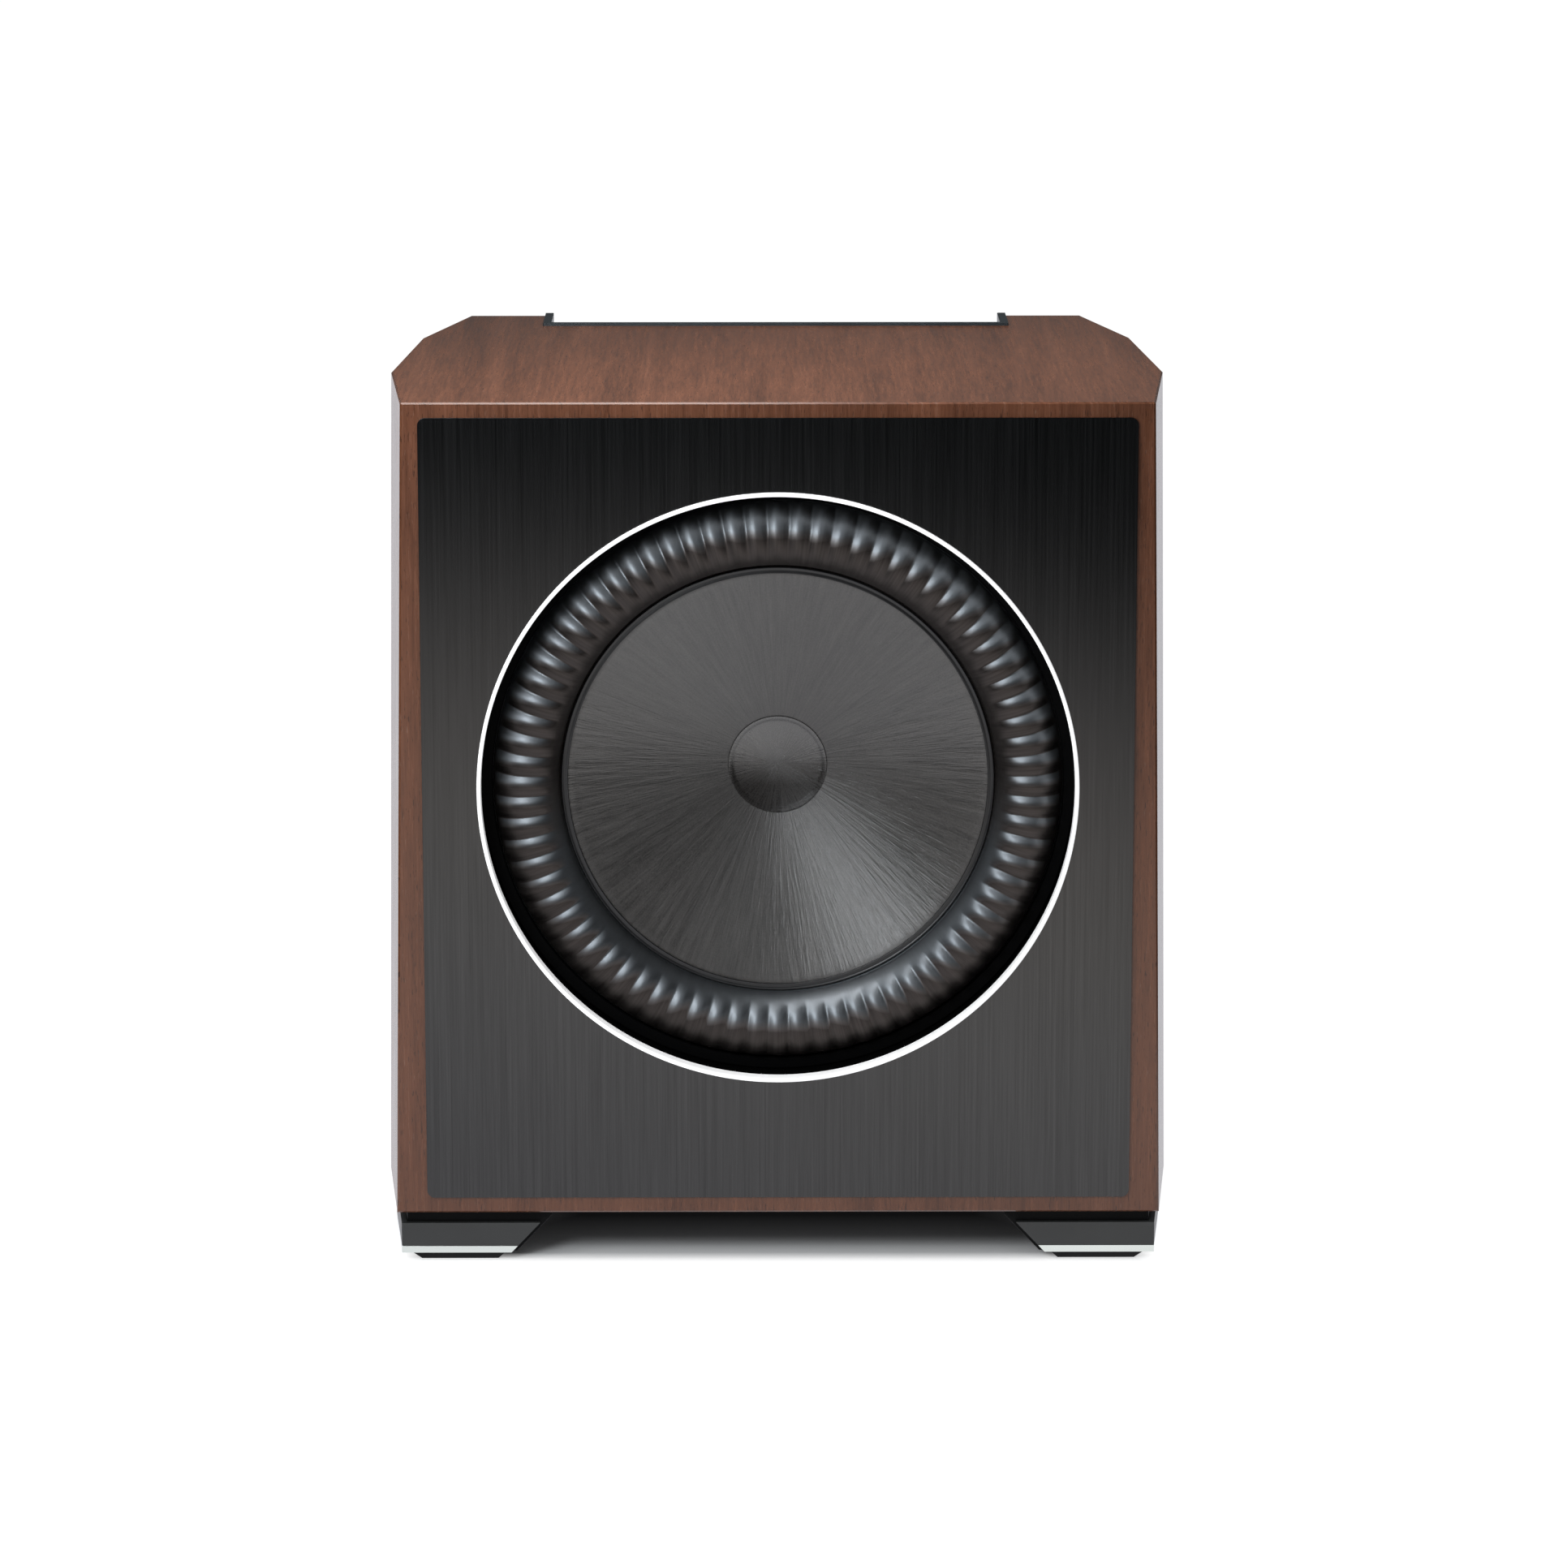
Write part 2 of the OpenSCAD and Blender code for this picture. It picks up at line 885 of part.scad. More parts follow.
module amp_screws() {
    color([0.12, 0.12, 0.13])
        amp_screw_spots() {
            translate([0, 0, -9])
                cylinder(r = 2, h = 13, $fn = 32);
            translate([0, 0, 4])
                difference() {
                    cylinder(r = 3.8, h = 2.6, $fn = 32);
                    translate([0, 0, 1])
                        cylinder(r = 1.7, h = 4, $fn = 6);
                }
        }
}

module heatsink() {
    z_a = panel_z + 212;
    z_b = plate_z1 - 10;
    pitch = 272 / (fin_count - 1);
    color([0.10, 0.10, 0.11])
        union() {
            translate([-140, plate_y1, z_a])
                cube([280, 5, z_b - z_a]);
            for (i = [0:fin_count - 1])
                translate([-136 + i * pitch - 1.6, plate_y1 + 4, z_a])
                    cube([3.2, 36, z_b - z_a]);
        }
}

module amp_chassis() {
    z_a = plate_z0 + 16;
    z_b = plate_z1 - 16;
    y_a = bay_y - 98;
    color([0.66, 0.67, 0.68])
        difference() {
            translate([-136, y_a, z_a])
                cube([272, 98, z_b - z_a]);
            translate([-134.5, y_a + 1.5, z_a + 1.5])
                cube([269, 98, z_b - z_a - 3]);
            for (dz = [-5, 5])
                translate([-100, y_a - 1, ax_z + 80 + dz])
                    rotate([-90, 0, 0])
                        cylinder(r = 2.2, h = 4, $fn = 24);
        }
}

module power_board() {
    color([0.12, 0.30, 0.16])
        translate([-128, bay_y - 92, plate_z0 + 24])
            cube([256, pcb_t, 160]);
}

module power_transformer() {
    color([0.70, 0.52, 0.20])
        translate([60, bay_y - 90.4, plate_z0 + 100])
            rotate([-90, 0, 0])
                difference() {
                    cylinder(r = 46, h = 34);
                    translate([0, 0, -1])
                        cylinder(r = 14, h = 36, $fn = 48);
                }
}

module filter_capacitors() {
    color([0.10, 0.14, 0.30])
        for (i = [0:3])
            translate([-20 - 32 * (i % 2), bay_y - 90.4, plate_z0 + 84 + 32 * floor(i / 2)])
                rotate([-90, 0, 0])
                    cylinder(r = 14, h = 40, $fn = 64);
}

module amp_board() {
    z_a = panel_z + 214;
    color([0.12, 0.30, 0.16])
        union() {
            translate([-120, bay_y - 30, z_a])
                cube([240, pcb_t, 150]);
            for (i = [0:3])
                translate([-90 + i * 54, bay_y - 28.6, z_a + 30])
                    cube([18, 28.6, 24]);
        }
}

module input_board() {
    color([0.12, 0.30, 0.16])
        difference() {
            translate([-128, pcb_y, panel_z + 84])
                cube([256, pcb_t, 116]);
            for (x = [60, 92, 118, xlr_at[0] - 30])
                translate([x, pcb_y - 1, panel_z + 90])
                    rotate([-90, 0, 0])
                        cylinder(r = 1.2, h = 4, $fn = 24);
        }
}

module pot_bodies() {
    color([0.20, 0.32, 0.24])
        for (x = knob_x)
            on_plate(x, knob_z)
                difference() {
                    union() {
                        translate([-8, -8, -jack_l])
                            cube([16, 16, jack_l - 4]);
                        translate([0, 0, -4.5])
                            cylinder(r = 3.5, h = 7.5, $fn = 48);
                    }
                    translate([0, 0, -12])
                        cylinder(r = 2.55, h = 30, $fn = 48);
                }
}

// a turned knob with a grip ring of fine flutes, a pointer groove and its shaft
module knob(x) {
    color([0.14, 0.14, 0.15])
        on_plate(x, knob_z)
            union() {
                difference() {
                    translate([0, 0, 0.8])
                        union() {
                            cylinder(r = knob_r, h = knob_l - 1);
                            translate([0, 0, knob_l - 1])
                                cylinder(r1 = knob_r, r2 = knob_r - 1, h = 1);
                        }
                    translate([0, 0, -1])
                        cylinder(r = 4.2, h = 5, $fn = 48);
                    for (i = [0:23])
                        rotate([0, 0, i * 15])
                            translate([knob_r + 0.35, 0, 3.5])
                                cylinder(r = 0.8, h = knob_l, $fn = 16);
                    translate([-0.5, -knob_r + 0.5, knob_l + 0.2])
                        cube([1, knob_r - 3, 2]);
                }
                translate([0, 0, -11])
                    cylinder(r = 2.5, h = 17, $fn = 48);
            }
}

module knob_level() {
    knob(knob_x[0]);
}

module knob_crossover() {
    knob(knob_x[1]);
}

module knob_phase() {
    knob(knob_x[2]);
}

module rca_jacks() {
    color([0.80, 0.66, 0.34])
        for (p = rca_spots)
            on_plate(p[0], p[1])
                difference() {
                    union() {
                        translate([0, 0, -jack_l])
                            cylinder(r = 5, h = jack_l, $fn = 48);
                        cylinder(r = 6.5, h = 2, $fn = 48);
                        cylinder(r = 4.15, h = 10, $fn = 48);
                    }
                    translate([0, 0, 1.5])
                        cylinder(r = 1.6, h = 12, $fn = 32);
                }
}

module xlr_socket() {
    color([0.16, 0.16, 0.17])
        on_plate(xlr_at[0], xlr_at[1])
            difference() {
                union() {
                    translate([-13, -15.5, 0])
                        cube([26, 31, 2]);
                    translate([0, 0, -jack_l])
                        cylinder(r = 11.9, h = jack_l + 0.1);
                    translate([0, 0, 1])
                        cylinder(r = 10.5, h = 5);
                }
                difference() {
                    translate([0, 0, -12])
                        cylinder(r = 8.6, h = 20);
                    translate([0, 0, -13])
                        cylinder(r = 7.2, h = 17);
                }
                for (a = [0, 120, 240])
                    rotate([0, 0, a + 90])
                        translate([4, 0, -8])
                            cylinder(r = 1.3, h = 14, $fn = 32);
                translate([-3.05, -15.6, 0.9])
                    cube([6.1, 8.4, 6]);
            }
}

module xlr_latch() {
    color([0.72, 0.73, 0.75])
        on_plate(xlr_at[0], xlr_at[1])
            translate([-3, -13.6, 1])
                union() {
                    cube([6, 4.4, 2]);
                    translate([0, 0, 1])
                        cube([6, 2.2, 3.4]);
                }
}

module trigger_jack() {
    color([0.20, 0.20, 0.21])
        on_plate(trig_at[0], trig_at[1])
            difference() {
                union() {
                    translate([0, 0, -jack_l])
                        cylinder(r = 3.95, h = jack_l + 0.6, $fn = 48);
                    cylinder(r = 5.4, h = 2.4, $fn = 48);
                }
                translate([0, 0, -14])
                    cylinder(r = 1.78, h = 20, $fn = 48);
            }
}

module mains_inlet() {
    color([0.07, 0.07, 0.08])
        translate([inlet_at[0], plate_y1, inlet_at[1]])
            difference() {
                union() {
                    translate([-23.8, -28, -12.8])
                        cube([47.6, 29, 25.6]);
                    translate([-27, 0, -15])
                        cube([54, 2, 30]);
                }
                // the socket well round the three contacts
                difference() {
                    translate([-21.5, -16, -10])
                        cube([26, 30, 20]);
                    translate([-19, -17, -7.5])
                        cube([21, 8, 15]);
                }
                // the drawer's slot
                translate([7.4, -22, -10.1])
                    cube([12.2, 40, 20.2]);
            }
}

module inlet_pins() {
    color([0.75, 0.75, 0.77])
        translate([inlet_at[0] - 8.5, plate_y1, inlet_at[1]])
            for (p = [[-7, -2], [7, -2], [0, 3.5]])
                translate([p[0] - 1, -9, p[1] - 2])
                    cube([2, 9.5, 4]);
}

module fuse_drawer() {
    color([0.10, 0.10, 0.11])
        translate([inlet_at[0] + 13.5, plate_y1, inlet_at[1]])
            difference() {
                union() {
                    translate([-6, -21, -10])
                        cube([12, 23.2, 20]);
                    translate([-6, 2.1, -11.6])
                        cube([12, 1.9, 23.2]);
                }
                translate([-4, -18, -7])
                    cube([8, 16, 18]);
            }
}

module power_switch_housing() {
    color([0.07, 0.07, 0.08])
        translate([rocker_at[0], plate_y1, rocker_at[1]])
            difference() {
                union() {
                    translate([-13.3, -20, -9.8])
                        cube([26.6, 20.5, 19.6]);
                    translate([-15, 0, -11.5])
                        cube([30, 2, 23]);
                }
                translate([-12, -12, -8])
                    cube([24, 30, 16]);
                translate([0, -3, -12])
                    cylinder(r = 1.55, h = 24, $fn = 32);
            }
}

// a seesaw button turning on a short cross pin
module power_rocker() {
    color([0.15, 0.15, 0.16])
        translate([rocker_at[0], plate_y1, rocker_at[1]])
            union() {
                difference() {
                    translate([-10.8, -8, -7.8])
                        cube([21.6, 12.4, 15.6]);
                    translate([0, 22, -9])
                        cylinder(r = 19, h = 18);
                    for (sx = [-1, 1])
                        translate([sx * 9, -10.2, -9])
                            cylinder(r = 5.4, h = 18, $fn = 48);
                }
                translate([0, -3, -9.7])
                    cylinder(r = 1.5, h = 19.4, $fn = 32);
            }
}

module mode_switch_body() {
    color([0.20, 0.20, 0.22])
        translate([mode_at[0], plate_y0, mode_at[1]])
            difference() {
                translate([-9, -16.4, -5])
                    cube([18, 16.4, 10]);
                translate([-5.6, -6, -2.6])
                    cube([11.2, 8, 5.2]);
            }
}

module mode_slider() {
    color([0.88, 0.88, 0.86])
        translate([mode_at[0], plate_y0, mode_at[1]])
            union() {
                translate([-3.4, -5, -2.5])
                    cube([3, 6, 5]);
                translate([-3, 0, -2])
                    cube([2.2, 7, 4]);
            }
}

module status_led() {
    color([0.55, 0.75, 0.95])
        on_plate(led_at[0], led_at[1])
            union() {
                translate([0, 0, -8])
                    cylinder(r = led_r, h = 8.6, $fn = 48);
                intersection() {
                    translate([0, 0, -1.2])
                        sphere(r = 3, $fn = 64);
                    cylinder(r = led_r, h = 3, $fn = 48);
                }
            }
}

top_panel();
bottom_panel();
side_left();
side_right();
front_baffle();
rear_panel();
amp_bay_tub();
window_brace();
wadding();
front_fascia();
amp_bay_frame();
foot_cores();
foot_claddings();
foot_stripes();
foot_pads();
foot_bolts();
trim_ring();
flange_cover();
driver_gasket();
basket();
driver_screws();
surround();
cone_rim();
cone();
dust_cap();
coil_former();
voice_coil();
spider();
top_plate();
magnets();
yoke();
shorting_ring();
terminal_block();
tinsel_leads();
speaker_cable();
amp_plate();
amp_screws();
heatsink();
amp_chassis();
power_board();
power_transformer();
filter_capacitors();
amp_board();
input_board();
pot_bodies();
knob_level();
knob_crossover();
knob_phase();
rca_jacks();
xlr_socket();
xlr_latch();
trigger_jack();
mains_inlet();
inlet_pins();
fuse_drawer();
power_switch_housing();
power_rocker();
mode_switch_body();
mode_slider();
status_led();
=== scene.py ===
"""Looks of the subwoofer: visual pieces, materials, studio and camera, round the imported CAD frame."""
import math
import random

import bmesh
import bpy
import numpy as np
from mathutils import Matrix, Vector


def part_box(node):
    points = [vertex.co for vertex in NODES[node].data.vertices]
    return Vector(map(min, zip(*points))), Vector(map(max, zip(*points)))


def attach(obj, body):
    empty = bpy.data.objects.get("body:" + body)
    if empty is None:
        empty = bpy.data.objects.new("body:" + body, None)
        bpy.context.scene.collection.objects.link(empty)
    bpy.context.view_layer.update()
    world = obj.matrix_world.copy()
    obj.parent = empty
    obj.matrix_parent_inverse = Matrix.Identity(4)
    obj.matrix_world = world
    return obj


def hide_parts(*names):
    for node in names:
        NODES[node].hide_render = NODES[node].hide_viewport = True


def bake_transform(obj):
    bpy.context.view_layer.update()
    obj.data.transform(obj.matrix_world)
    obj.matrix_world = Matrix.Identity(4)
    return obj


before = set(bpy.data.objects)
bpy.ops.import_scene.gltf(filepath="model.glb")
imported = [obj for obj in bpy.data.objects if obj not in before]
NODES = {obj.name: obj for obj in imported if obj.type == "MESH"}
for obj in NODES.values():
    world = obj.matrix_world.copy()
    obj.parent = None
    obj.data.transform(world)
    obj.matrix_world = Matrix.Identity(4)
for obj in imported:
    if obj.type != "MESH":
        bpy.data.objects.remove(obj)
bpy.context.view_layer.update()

MM = 0.001

# ---------------------------------------------------------------- places read from the frame

ring_low, ring_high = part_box("trim_ring")
AXIS_Z = (ring_low.z + ring_high.z) / 2
RING_R = (ring_high.x - ring_low.x) / 2
FACE_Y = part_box("front_baffle")[0].y
FASCIA_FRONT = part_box("front_fascia")[0].y
PLATE_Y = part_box("amp_plate")[1].y


def depth(node):
    """Front and back depth of a driver part behind the cabinet's face."""
    low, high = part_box(node)
    return low.y - FACE_Y, high.y - FACE_Y


def radius(node):
    low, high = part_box(node)
    return (high.x - low.x) / 2


# ---------------------------------------------------------------- mesh helpers

def add_mesh(name, vertices, faces, smooth=True):
    mesh = bpy.data.meshes.new(name)
    mesh.from_pydata(vertices, [], faces)
    mesh.validate()
    work = bmesh.new()
    work.from_mesh(mesh)
    bmesh.ops.remove_doubles(work, verts=work.verts, dist=1e-6)
    bmesh.ops.recalc_face_normals(work, faces=work.faces)
    work.to_mesh(mesh)
    work.free()
    for polygon in mesh.polygons:
        polygon.use_smooth = smooth
    piece = bpy.data.objects.new(name, mesh)
    bpy.context.scene.collection.objects.link(piece)
    return piece


def ring_grid(name, loop, segments, shift=None):
    """Turns a closed loop of (radius, depth) points round the driver axis.
    shift(angle, index) gives a small change (dr, dd) of that point at that angle."""
    count = len(loop)
    vertices = []
    for i in range(segments):
        angle = 2 * math.pi * i / segments
        for j, (r, d) in enumerate(loop):
            dr, dd = shift(angle, j) if shift else (0, 0)
            vertices.append((
                (r + dr) * math.cos(angle),
                FACE_Y + d + dd,
                AXIS_Z + (r + dr) * math.sin(angle),
            ))
    faces = []
    for i in range(segments):
        a = i * count
        b = (i + 1) % segments * count
        for j in range(count):
            k = (j + 1) % count
            faces.append((a + j, a + k, b + k, b + j))
    return add_mesh(name, vertices, faces)


def disc_grid(name, loop, segments):
    """Like ring_grid for an open profile whose first and last points lie on the axis."""
    count = len(loop)
    vertices = []
    for i in range(segments):
        angle = 2 * math.pi * i / segments
        for r, d in loop:
            vertices.append((r * math.cos(angle), FACE_Y + d, AXIS_Z + r * math.sin(angle)))
    faces = []
    for i in range(segments):
        a = i * count
        b = (i + 1) % segments * count
        for j in range(count - 1):
            faces.append((a + j, a + j + 1, b + j + 1, b + j))
    return add_mesh(name, vertices, faces)


def arc(centre, r, start, end, steps):
    """Points of an arc in the (radius, depth) plane, angles in degrees."""
    out = []
    for i in range(steps + 1):
        a = math.radians(start + (end - start) * i / steps)
        out.append((centre[0] + r * math.cos(a), centre[1] + r * math.sin(a)))
    return out


def sharpen(piece, degrees=35):
    """Marks edges over an angle as sharp, so that smooth shading keeps them crisp."""
    work = bmesh.new()
    work.from_mesh(piece.data)
    limit = math.radians(degrees)
    for edge in work.edges:
        edge.smooth = len(edge.link_faces) == 2 and edge.calc_face_angle(0) < limit
    for face in work.faces:
        face.smooth = True
    work.to_mesh(piece.data)
    work.free()


def soften(piece, width):
    """A small rounded edge on a part, by modifiers only."""
    weld = piece.modifiers.new("join", "WELD")
    weld.merge_threshold = 1e-5
    bevel = piece.modifiers.new("edge", "BEVEL")
    bevel.width = width
    bevel.segments = 2
    bevel.limit_method = "ANGLE"
    bevel.angle_limit = math.radians(35)
    for polygon in piece.data.polygons:
        polygon.use_smooth = True
    shade = piece.modifiers.new("shade", "WEIGHTED_NORMAL")
    shade.weight = 100


def place(piece, material, body, node=None):
    """Gives a piece its material and its body, and has it stand in for a CAD node."""
    piece.data.materials.append(material)
    if node:
        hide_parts(node)
    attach(piece, body)


# ---------------------------------------------------------------- material helpers

class Shader:
    """A material under construction: short calls for the nodes used again and again."""

    def __init__(self, name):
        self.material = bpy.data.materials.new(name)
        self.material.use_nodes = True
        self.tree = self.material.node_tree
        self.bsdf = self.tree.nodes["Principled BSDF"]
        self.coords = self.tree.nodes.new("ShaderNodeTexCoord").outputs["Object"]

    def new(self, kind, **settings):
        node = self.tree.nodes.new(kind)
        for key, value in settings.items():
            setattr(node, key, value)
        return node

    def link(self, source, target):
        if isinstance(source, bpy.types.NodeSocket):
            self.tree.links.new(source, target)
        else:
            target.default_value = source

    def set(self, **values):
        for key, value in values.items():
            self.link(value, self.bsdf.inputs[key.replace("_", " ")])
        return self

    def math(self, operation, a, b=0.0):
        node = self.new("ShaderNodeMath", operation=operation)
        for value, socket in zip((a, b), node.inputs):
            self.link(value, socket)
        return node.outputs[0]

    def scaled(self, scale):
        node = self.new("ShaderNodeMapping")
        self.link(self.coords, node.inputs["Vector"])
        node.inputs["Scale"].default_value = scale
        return node.outputs[0]

    def noise(self, vector, scale, detail=4.0, rough=0.5, distortion=0.0):
        node = self.new("ShaderNodeTexNoise")
        self.link(vector, node.inputs["Vector"])
        node.inputs["Scale"].default_value = scale
        node.inputs["Detail"].default_value = detail
        node.inputs["Roughness"].default_value = rough
        node.inputs["Distortion"].default_value = distortion
        return node.outputs["Fac"]

    def cells(self, vector, scale):
        node = self.new("ShaderNodeTexVoronoi")
        self.link(vector, node.inputs["Vector"])
        node.inputs["Scale"].default_value = scale
        return node.outputs["Distance"]

    def spread(self, value, low, high, to_low=0.0, to_high=1.0):
        node = self.new("ShaderNodeMapRange")
        self.link(value, node.inputs["Value"])
        ends = {"From Min": low, "From Max": high, "To Min": to_low, "To Max": to_high}
        for key, number in ends.items():
            self.link(number, node.inputs[key])
        return node.outputs[0]

    def ramp(self, value, *stops):
        node = self.new("ShaderNodeValToRGB")
        self.link(value, node.inputs[0])
        elements = node.color_ramp.elements
        while len(elements) < len(stops):
            elements.new(0.5)
        for element, (place, colour) in zip(elements, stops):
            element.position = place
            element.color = (*colour, 1)
        return node.outputs[0]

    def mix(self, fac, a, b, blend="MIX"):
        node = self.new("ShaderNodeMix", data_type="RGBA", blend_type=blend)
        self.link(fac, node.inputs[0])
        for value, socket in ((a, node.inputs[6]), (b, node.inputs[7])):
            self.link(value if isinstance(value, bpy.types.NodeSocket) else (*value, 1), socket)
        return node.outputs[2]

    def mix_vector(self, fac, a, b):
        node = self.new("ShaderNodeMix", data_type="VECTOR")
        self.link(fac, node.inputs[0])
        self.link(a, node.inputs[4])
        self.link(b, node.inputs[5])
        return node.outputs[1]

    def bump(self, height, strength, distance):
        node = self.new("ShaderNodeBump")
        self.link(height, node.inputs["Height"])
        node.inputs["Strength"].default_value = strength
        node.inputs["Distance"].default_value = distance
        return node.outputs[0]

    def split(self, vector):
        node = self.new("ShaderNodeSeparateXYZ")
        self.link(vector, node.inputs[0])
        return node.outputs

    def join(self, x, y, z):
        node = self.new("ShaderNodeCombineXYZ")
        for value, socket in zip((x, y, z), node.inputs):
            self.link(value, socket)
        return node.outputs[0]

    def facing(self, smooth=False):
        """How far the surface faces up: 1 for a top, -1 for an underside."""
        geometry = self.new("ShaderNodeNewGeometry")
        return self.split(geometry.outputs["Normal" if smooth else "True Normal"])[2]

    def polar(self):
        """(direction x, direction z, radius) round the driver axis."""
        x, _, z = self.split(self.coords)
        dz = self.math("SUBTRACT", z, AXIS_Z)
        squares = self.math("ADD", self.math("MULTIPLY", x, x), self.math("MULTIPLY", dz, dz))
        r = self.math("SQRT", squares)
        safe = self.math("MAXIMUM", r, 1e-4)
        return self.math("DIVIDE", x, safe), self.math("DIVIDE", dz, safe), r

    def turned_noise(self, polar, around, outward, *settings):
        """Noise drawn out round the driver axis or along its radii, by the two scales."""
        dx, dz, r = polar
        x = self.math("MULTIPLY", dx, around)
        z = self.math("MULTIPLY", dz, around)
        return self.noise(self.join(x, z, self.math("MULTIPLY", r, outward)), *settings)

    def weighted(self, *terms):
        """Sum of (value, weight) pairs."""
        total = self.math("MULTIPLY", *terms[0])
        for value, weight in terms[1:]:
            total = self.math("ADD", total, self.math("MULTIPLY", value, weight))
        return total


def scaled_colour(colour, factor):
    return tuple(min(1.0, c * factor) for c in colour)


def mottled(name, colour, rough, metallic=0.0, grain=900.0, bump=0.15, spread=0.25,
            stretch=(1, 1, 1), **extra):
    """A plain industrial finish: cloudy tone, fine grain, uneven gloss and a grain bump."""
    s = Shader(name)
    p = s.scaled(stretch)
    cloud = s.noise(p, 22, 3)
    fine = s.noise(p, grain, 3, 0.6)
    tone = s.weighted((cloud, 0.6), (fine, 0.4))
    dark, light = scaled_colour(colour, 1 - spread), scaled_colour(colour, 1 + spread)
    s.set(
        Base_Color=s.ramp(tone, (0.3, dark), (0.7, light)),
        Roughness=s.spread(tone, 0.25, 0.75, rough * 0.85, min(1.0, rough * 1.15)),
        Metallic=metallic,
        Normal=s.bump(fine, bump, 0.0002),
    )
    for key, value in extra.items():
        s.set(**{key: value})
    return s.material


# ---------------------------------------------------------------- materials

# Wood nearer to the driver axis than this, and no further behind the face, lines its opening.
OPENING_REACH = 197.5 * MM
OPENING_DEPTH = 60 * MM


def walnut():
    """Open-pore walnut veneer, with grain front to back on top and upright on every wall.
    The underside and the wall of the driver's opening are painted black."""
    s = Shader("walnut_veneer")
    upward = s.facing()
    flat = s.math("GREATER_THAN", s.math("ABSOLUTE", upward), 0.8)
    x, y, z = s.split(s.coords)
    across = s.math("ADD", x, s.math("MULTIPLY", y, 0.9))
    upright = s.join(across, s.math("MULTIPLY", y, 0.02), s.math("MULTIPLY", z, 0.045))
    lying = s.join(x, s.math("MULTIPLY", z, 0.3), s.math("MULTIPLY", y, 0.045))
    grain = s.mix_vector(flat, upright, lying)
    pores_at = s.mix_vector(
        flat,
        s.join(across, s.math("MULTIPLY", y, 0.02), s.math("MULTIPLY", z, 0.12)),
        s.join(x, s.math("MULTIPLY", z, 0.3), s.math("MULTIPLY", y, 0.12)),
    )
    bands = s.noise(grain, 60, 4, 0.5, 0.5)
    lines = s.noise(grain, 420, 5, 0.6, 0.3)
    hairs = s.noise(grain, 1700, 3, 0.6)
    figure = s.weighted((bands, 0.34), (lines, 0.40), (hairs, 0.26))
    wood = s.ramp(
        figure,
        (0.38, (0.075, 0.0262, 0.0122)),
        (0.47, (0.111, 0.0405, 0.0195)),
        (0.55, (0.139, 0.0518, 0.0258)),
        (0.66, (0.175, 0.0688, 0.0362)),
    )
    pore = s.noise(pores_at, 1250, 2, 0.5)
    dark_pore = s.spread(pore, 0.36, 0.31)
    light_fleck = s.spread(s.noise(pores_at, 1000, 2, 0.5), 0.67, 0.75)
    wood = s.mix(s.math("MULTIPLY", dark_pore, 0.65), wood, (0.016, 0.008, 0.006))
    wood = s.mix(s.math("MULTIPLY", light_fleck, 0.30), wood, (0.25, 0.15, 0.11))
    under = s.math("LESS_THAN", upward, -0.8)
    hole = s.math("LESS_THAN", s.polar()[2], OPENING_REACH)
    ahead = s.math("LESS_THAN", y, FACE_Y + OPENING_DEPTH)
    inside = s.math("GREATER_THAN", y, FACE_Y + 0.1 * MM)
    cut = s.math("MULTIPLY", s.math("MULTIPLY", hole, ahead), inside)
    base = s.mix(s.math("MAXIMUM", under, cut), wood, (0.003, 0.003, 0.003))
    height = s.math("SUBTRACT", s.math("MULTIPLY", lines, 0.4), dark_pore)
    s.set(
        Base_Color=base,
        Roughness=s.spread(lines, 0.3, 0.7, 0.20, 0.29),
        Normal=s.bump(height, 0.20, 0.00010),
        Specular_IOR_Level=s.math("SUBTRACT", 0.45, s.math("MULTIPLY", cut, 0.40)),
    )
    return s.material


def brushed_fascia():
    """Black anodised plate with upright brush lines."""
    s = Shader("brushed_black_plate")
    hair = s.noise(s.scaled((1, 1, 0.012)), 2600, 4, 0.65)
    strand = s.noise(s.scaled((1, 1, 0.008)), 800, 3, 0.75)
    cloud = s.noise(s.coords, 7, 2)
    tone = s.weighted((hair, 0.3), (strand, 0.7))
    s.set(
        Base_Color=s.ramp(tone, (0.36, (0.0008, 0.0011, 0.0013)), (0.64, (0.0052, 0.0057, 0.0062))),
        Roughness=s.spread(s.weighted((tone, 0.8), (cloud, 0.2)), 0.3, 0.7, 0.17, 0.22),
        IOR=1.60,
        Specular_IOR_Level=s.spread(tone, 0.34, 0.66, 0.43, 0.59),
        Specular_Tint=(1.0, 0.985, 0.975, 1),
        Anisotropic=0.8,
        Tangent=s.join(1.0, 0.0, 0.0),
        Normal=s.bump(tone, 0.03, 0.00003),
    )
    return s.material


def bright_metal(name, rough, colour):
    """Polished metal with fine lines and a few smudges."""
    s = Shader(name)
    lines = s.noise(s.scaled((0.02, 1, 1)), 2400, 3, 0.6)
    smudge = s.noise(s.coords, 30, 3)
    wear = s.math("ADD", lines, s.math("MULTIPLY", smudge, 0.4))
    s.set(
        Base_Color=s.ramp(smudge, (0.3, scaled_colour(colour, 0.97)), (0.7, colour)),
        Metallic=1.0,
        Roughness=s.spread(wear, 0.4, 1.0, rough * 0.7, rough * 1.4),
        Normal=s.bump(lines, 0.03, 0.00004),
    )
    return s.material


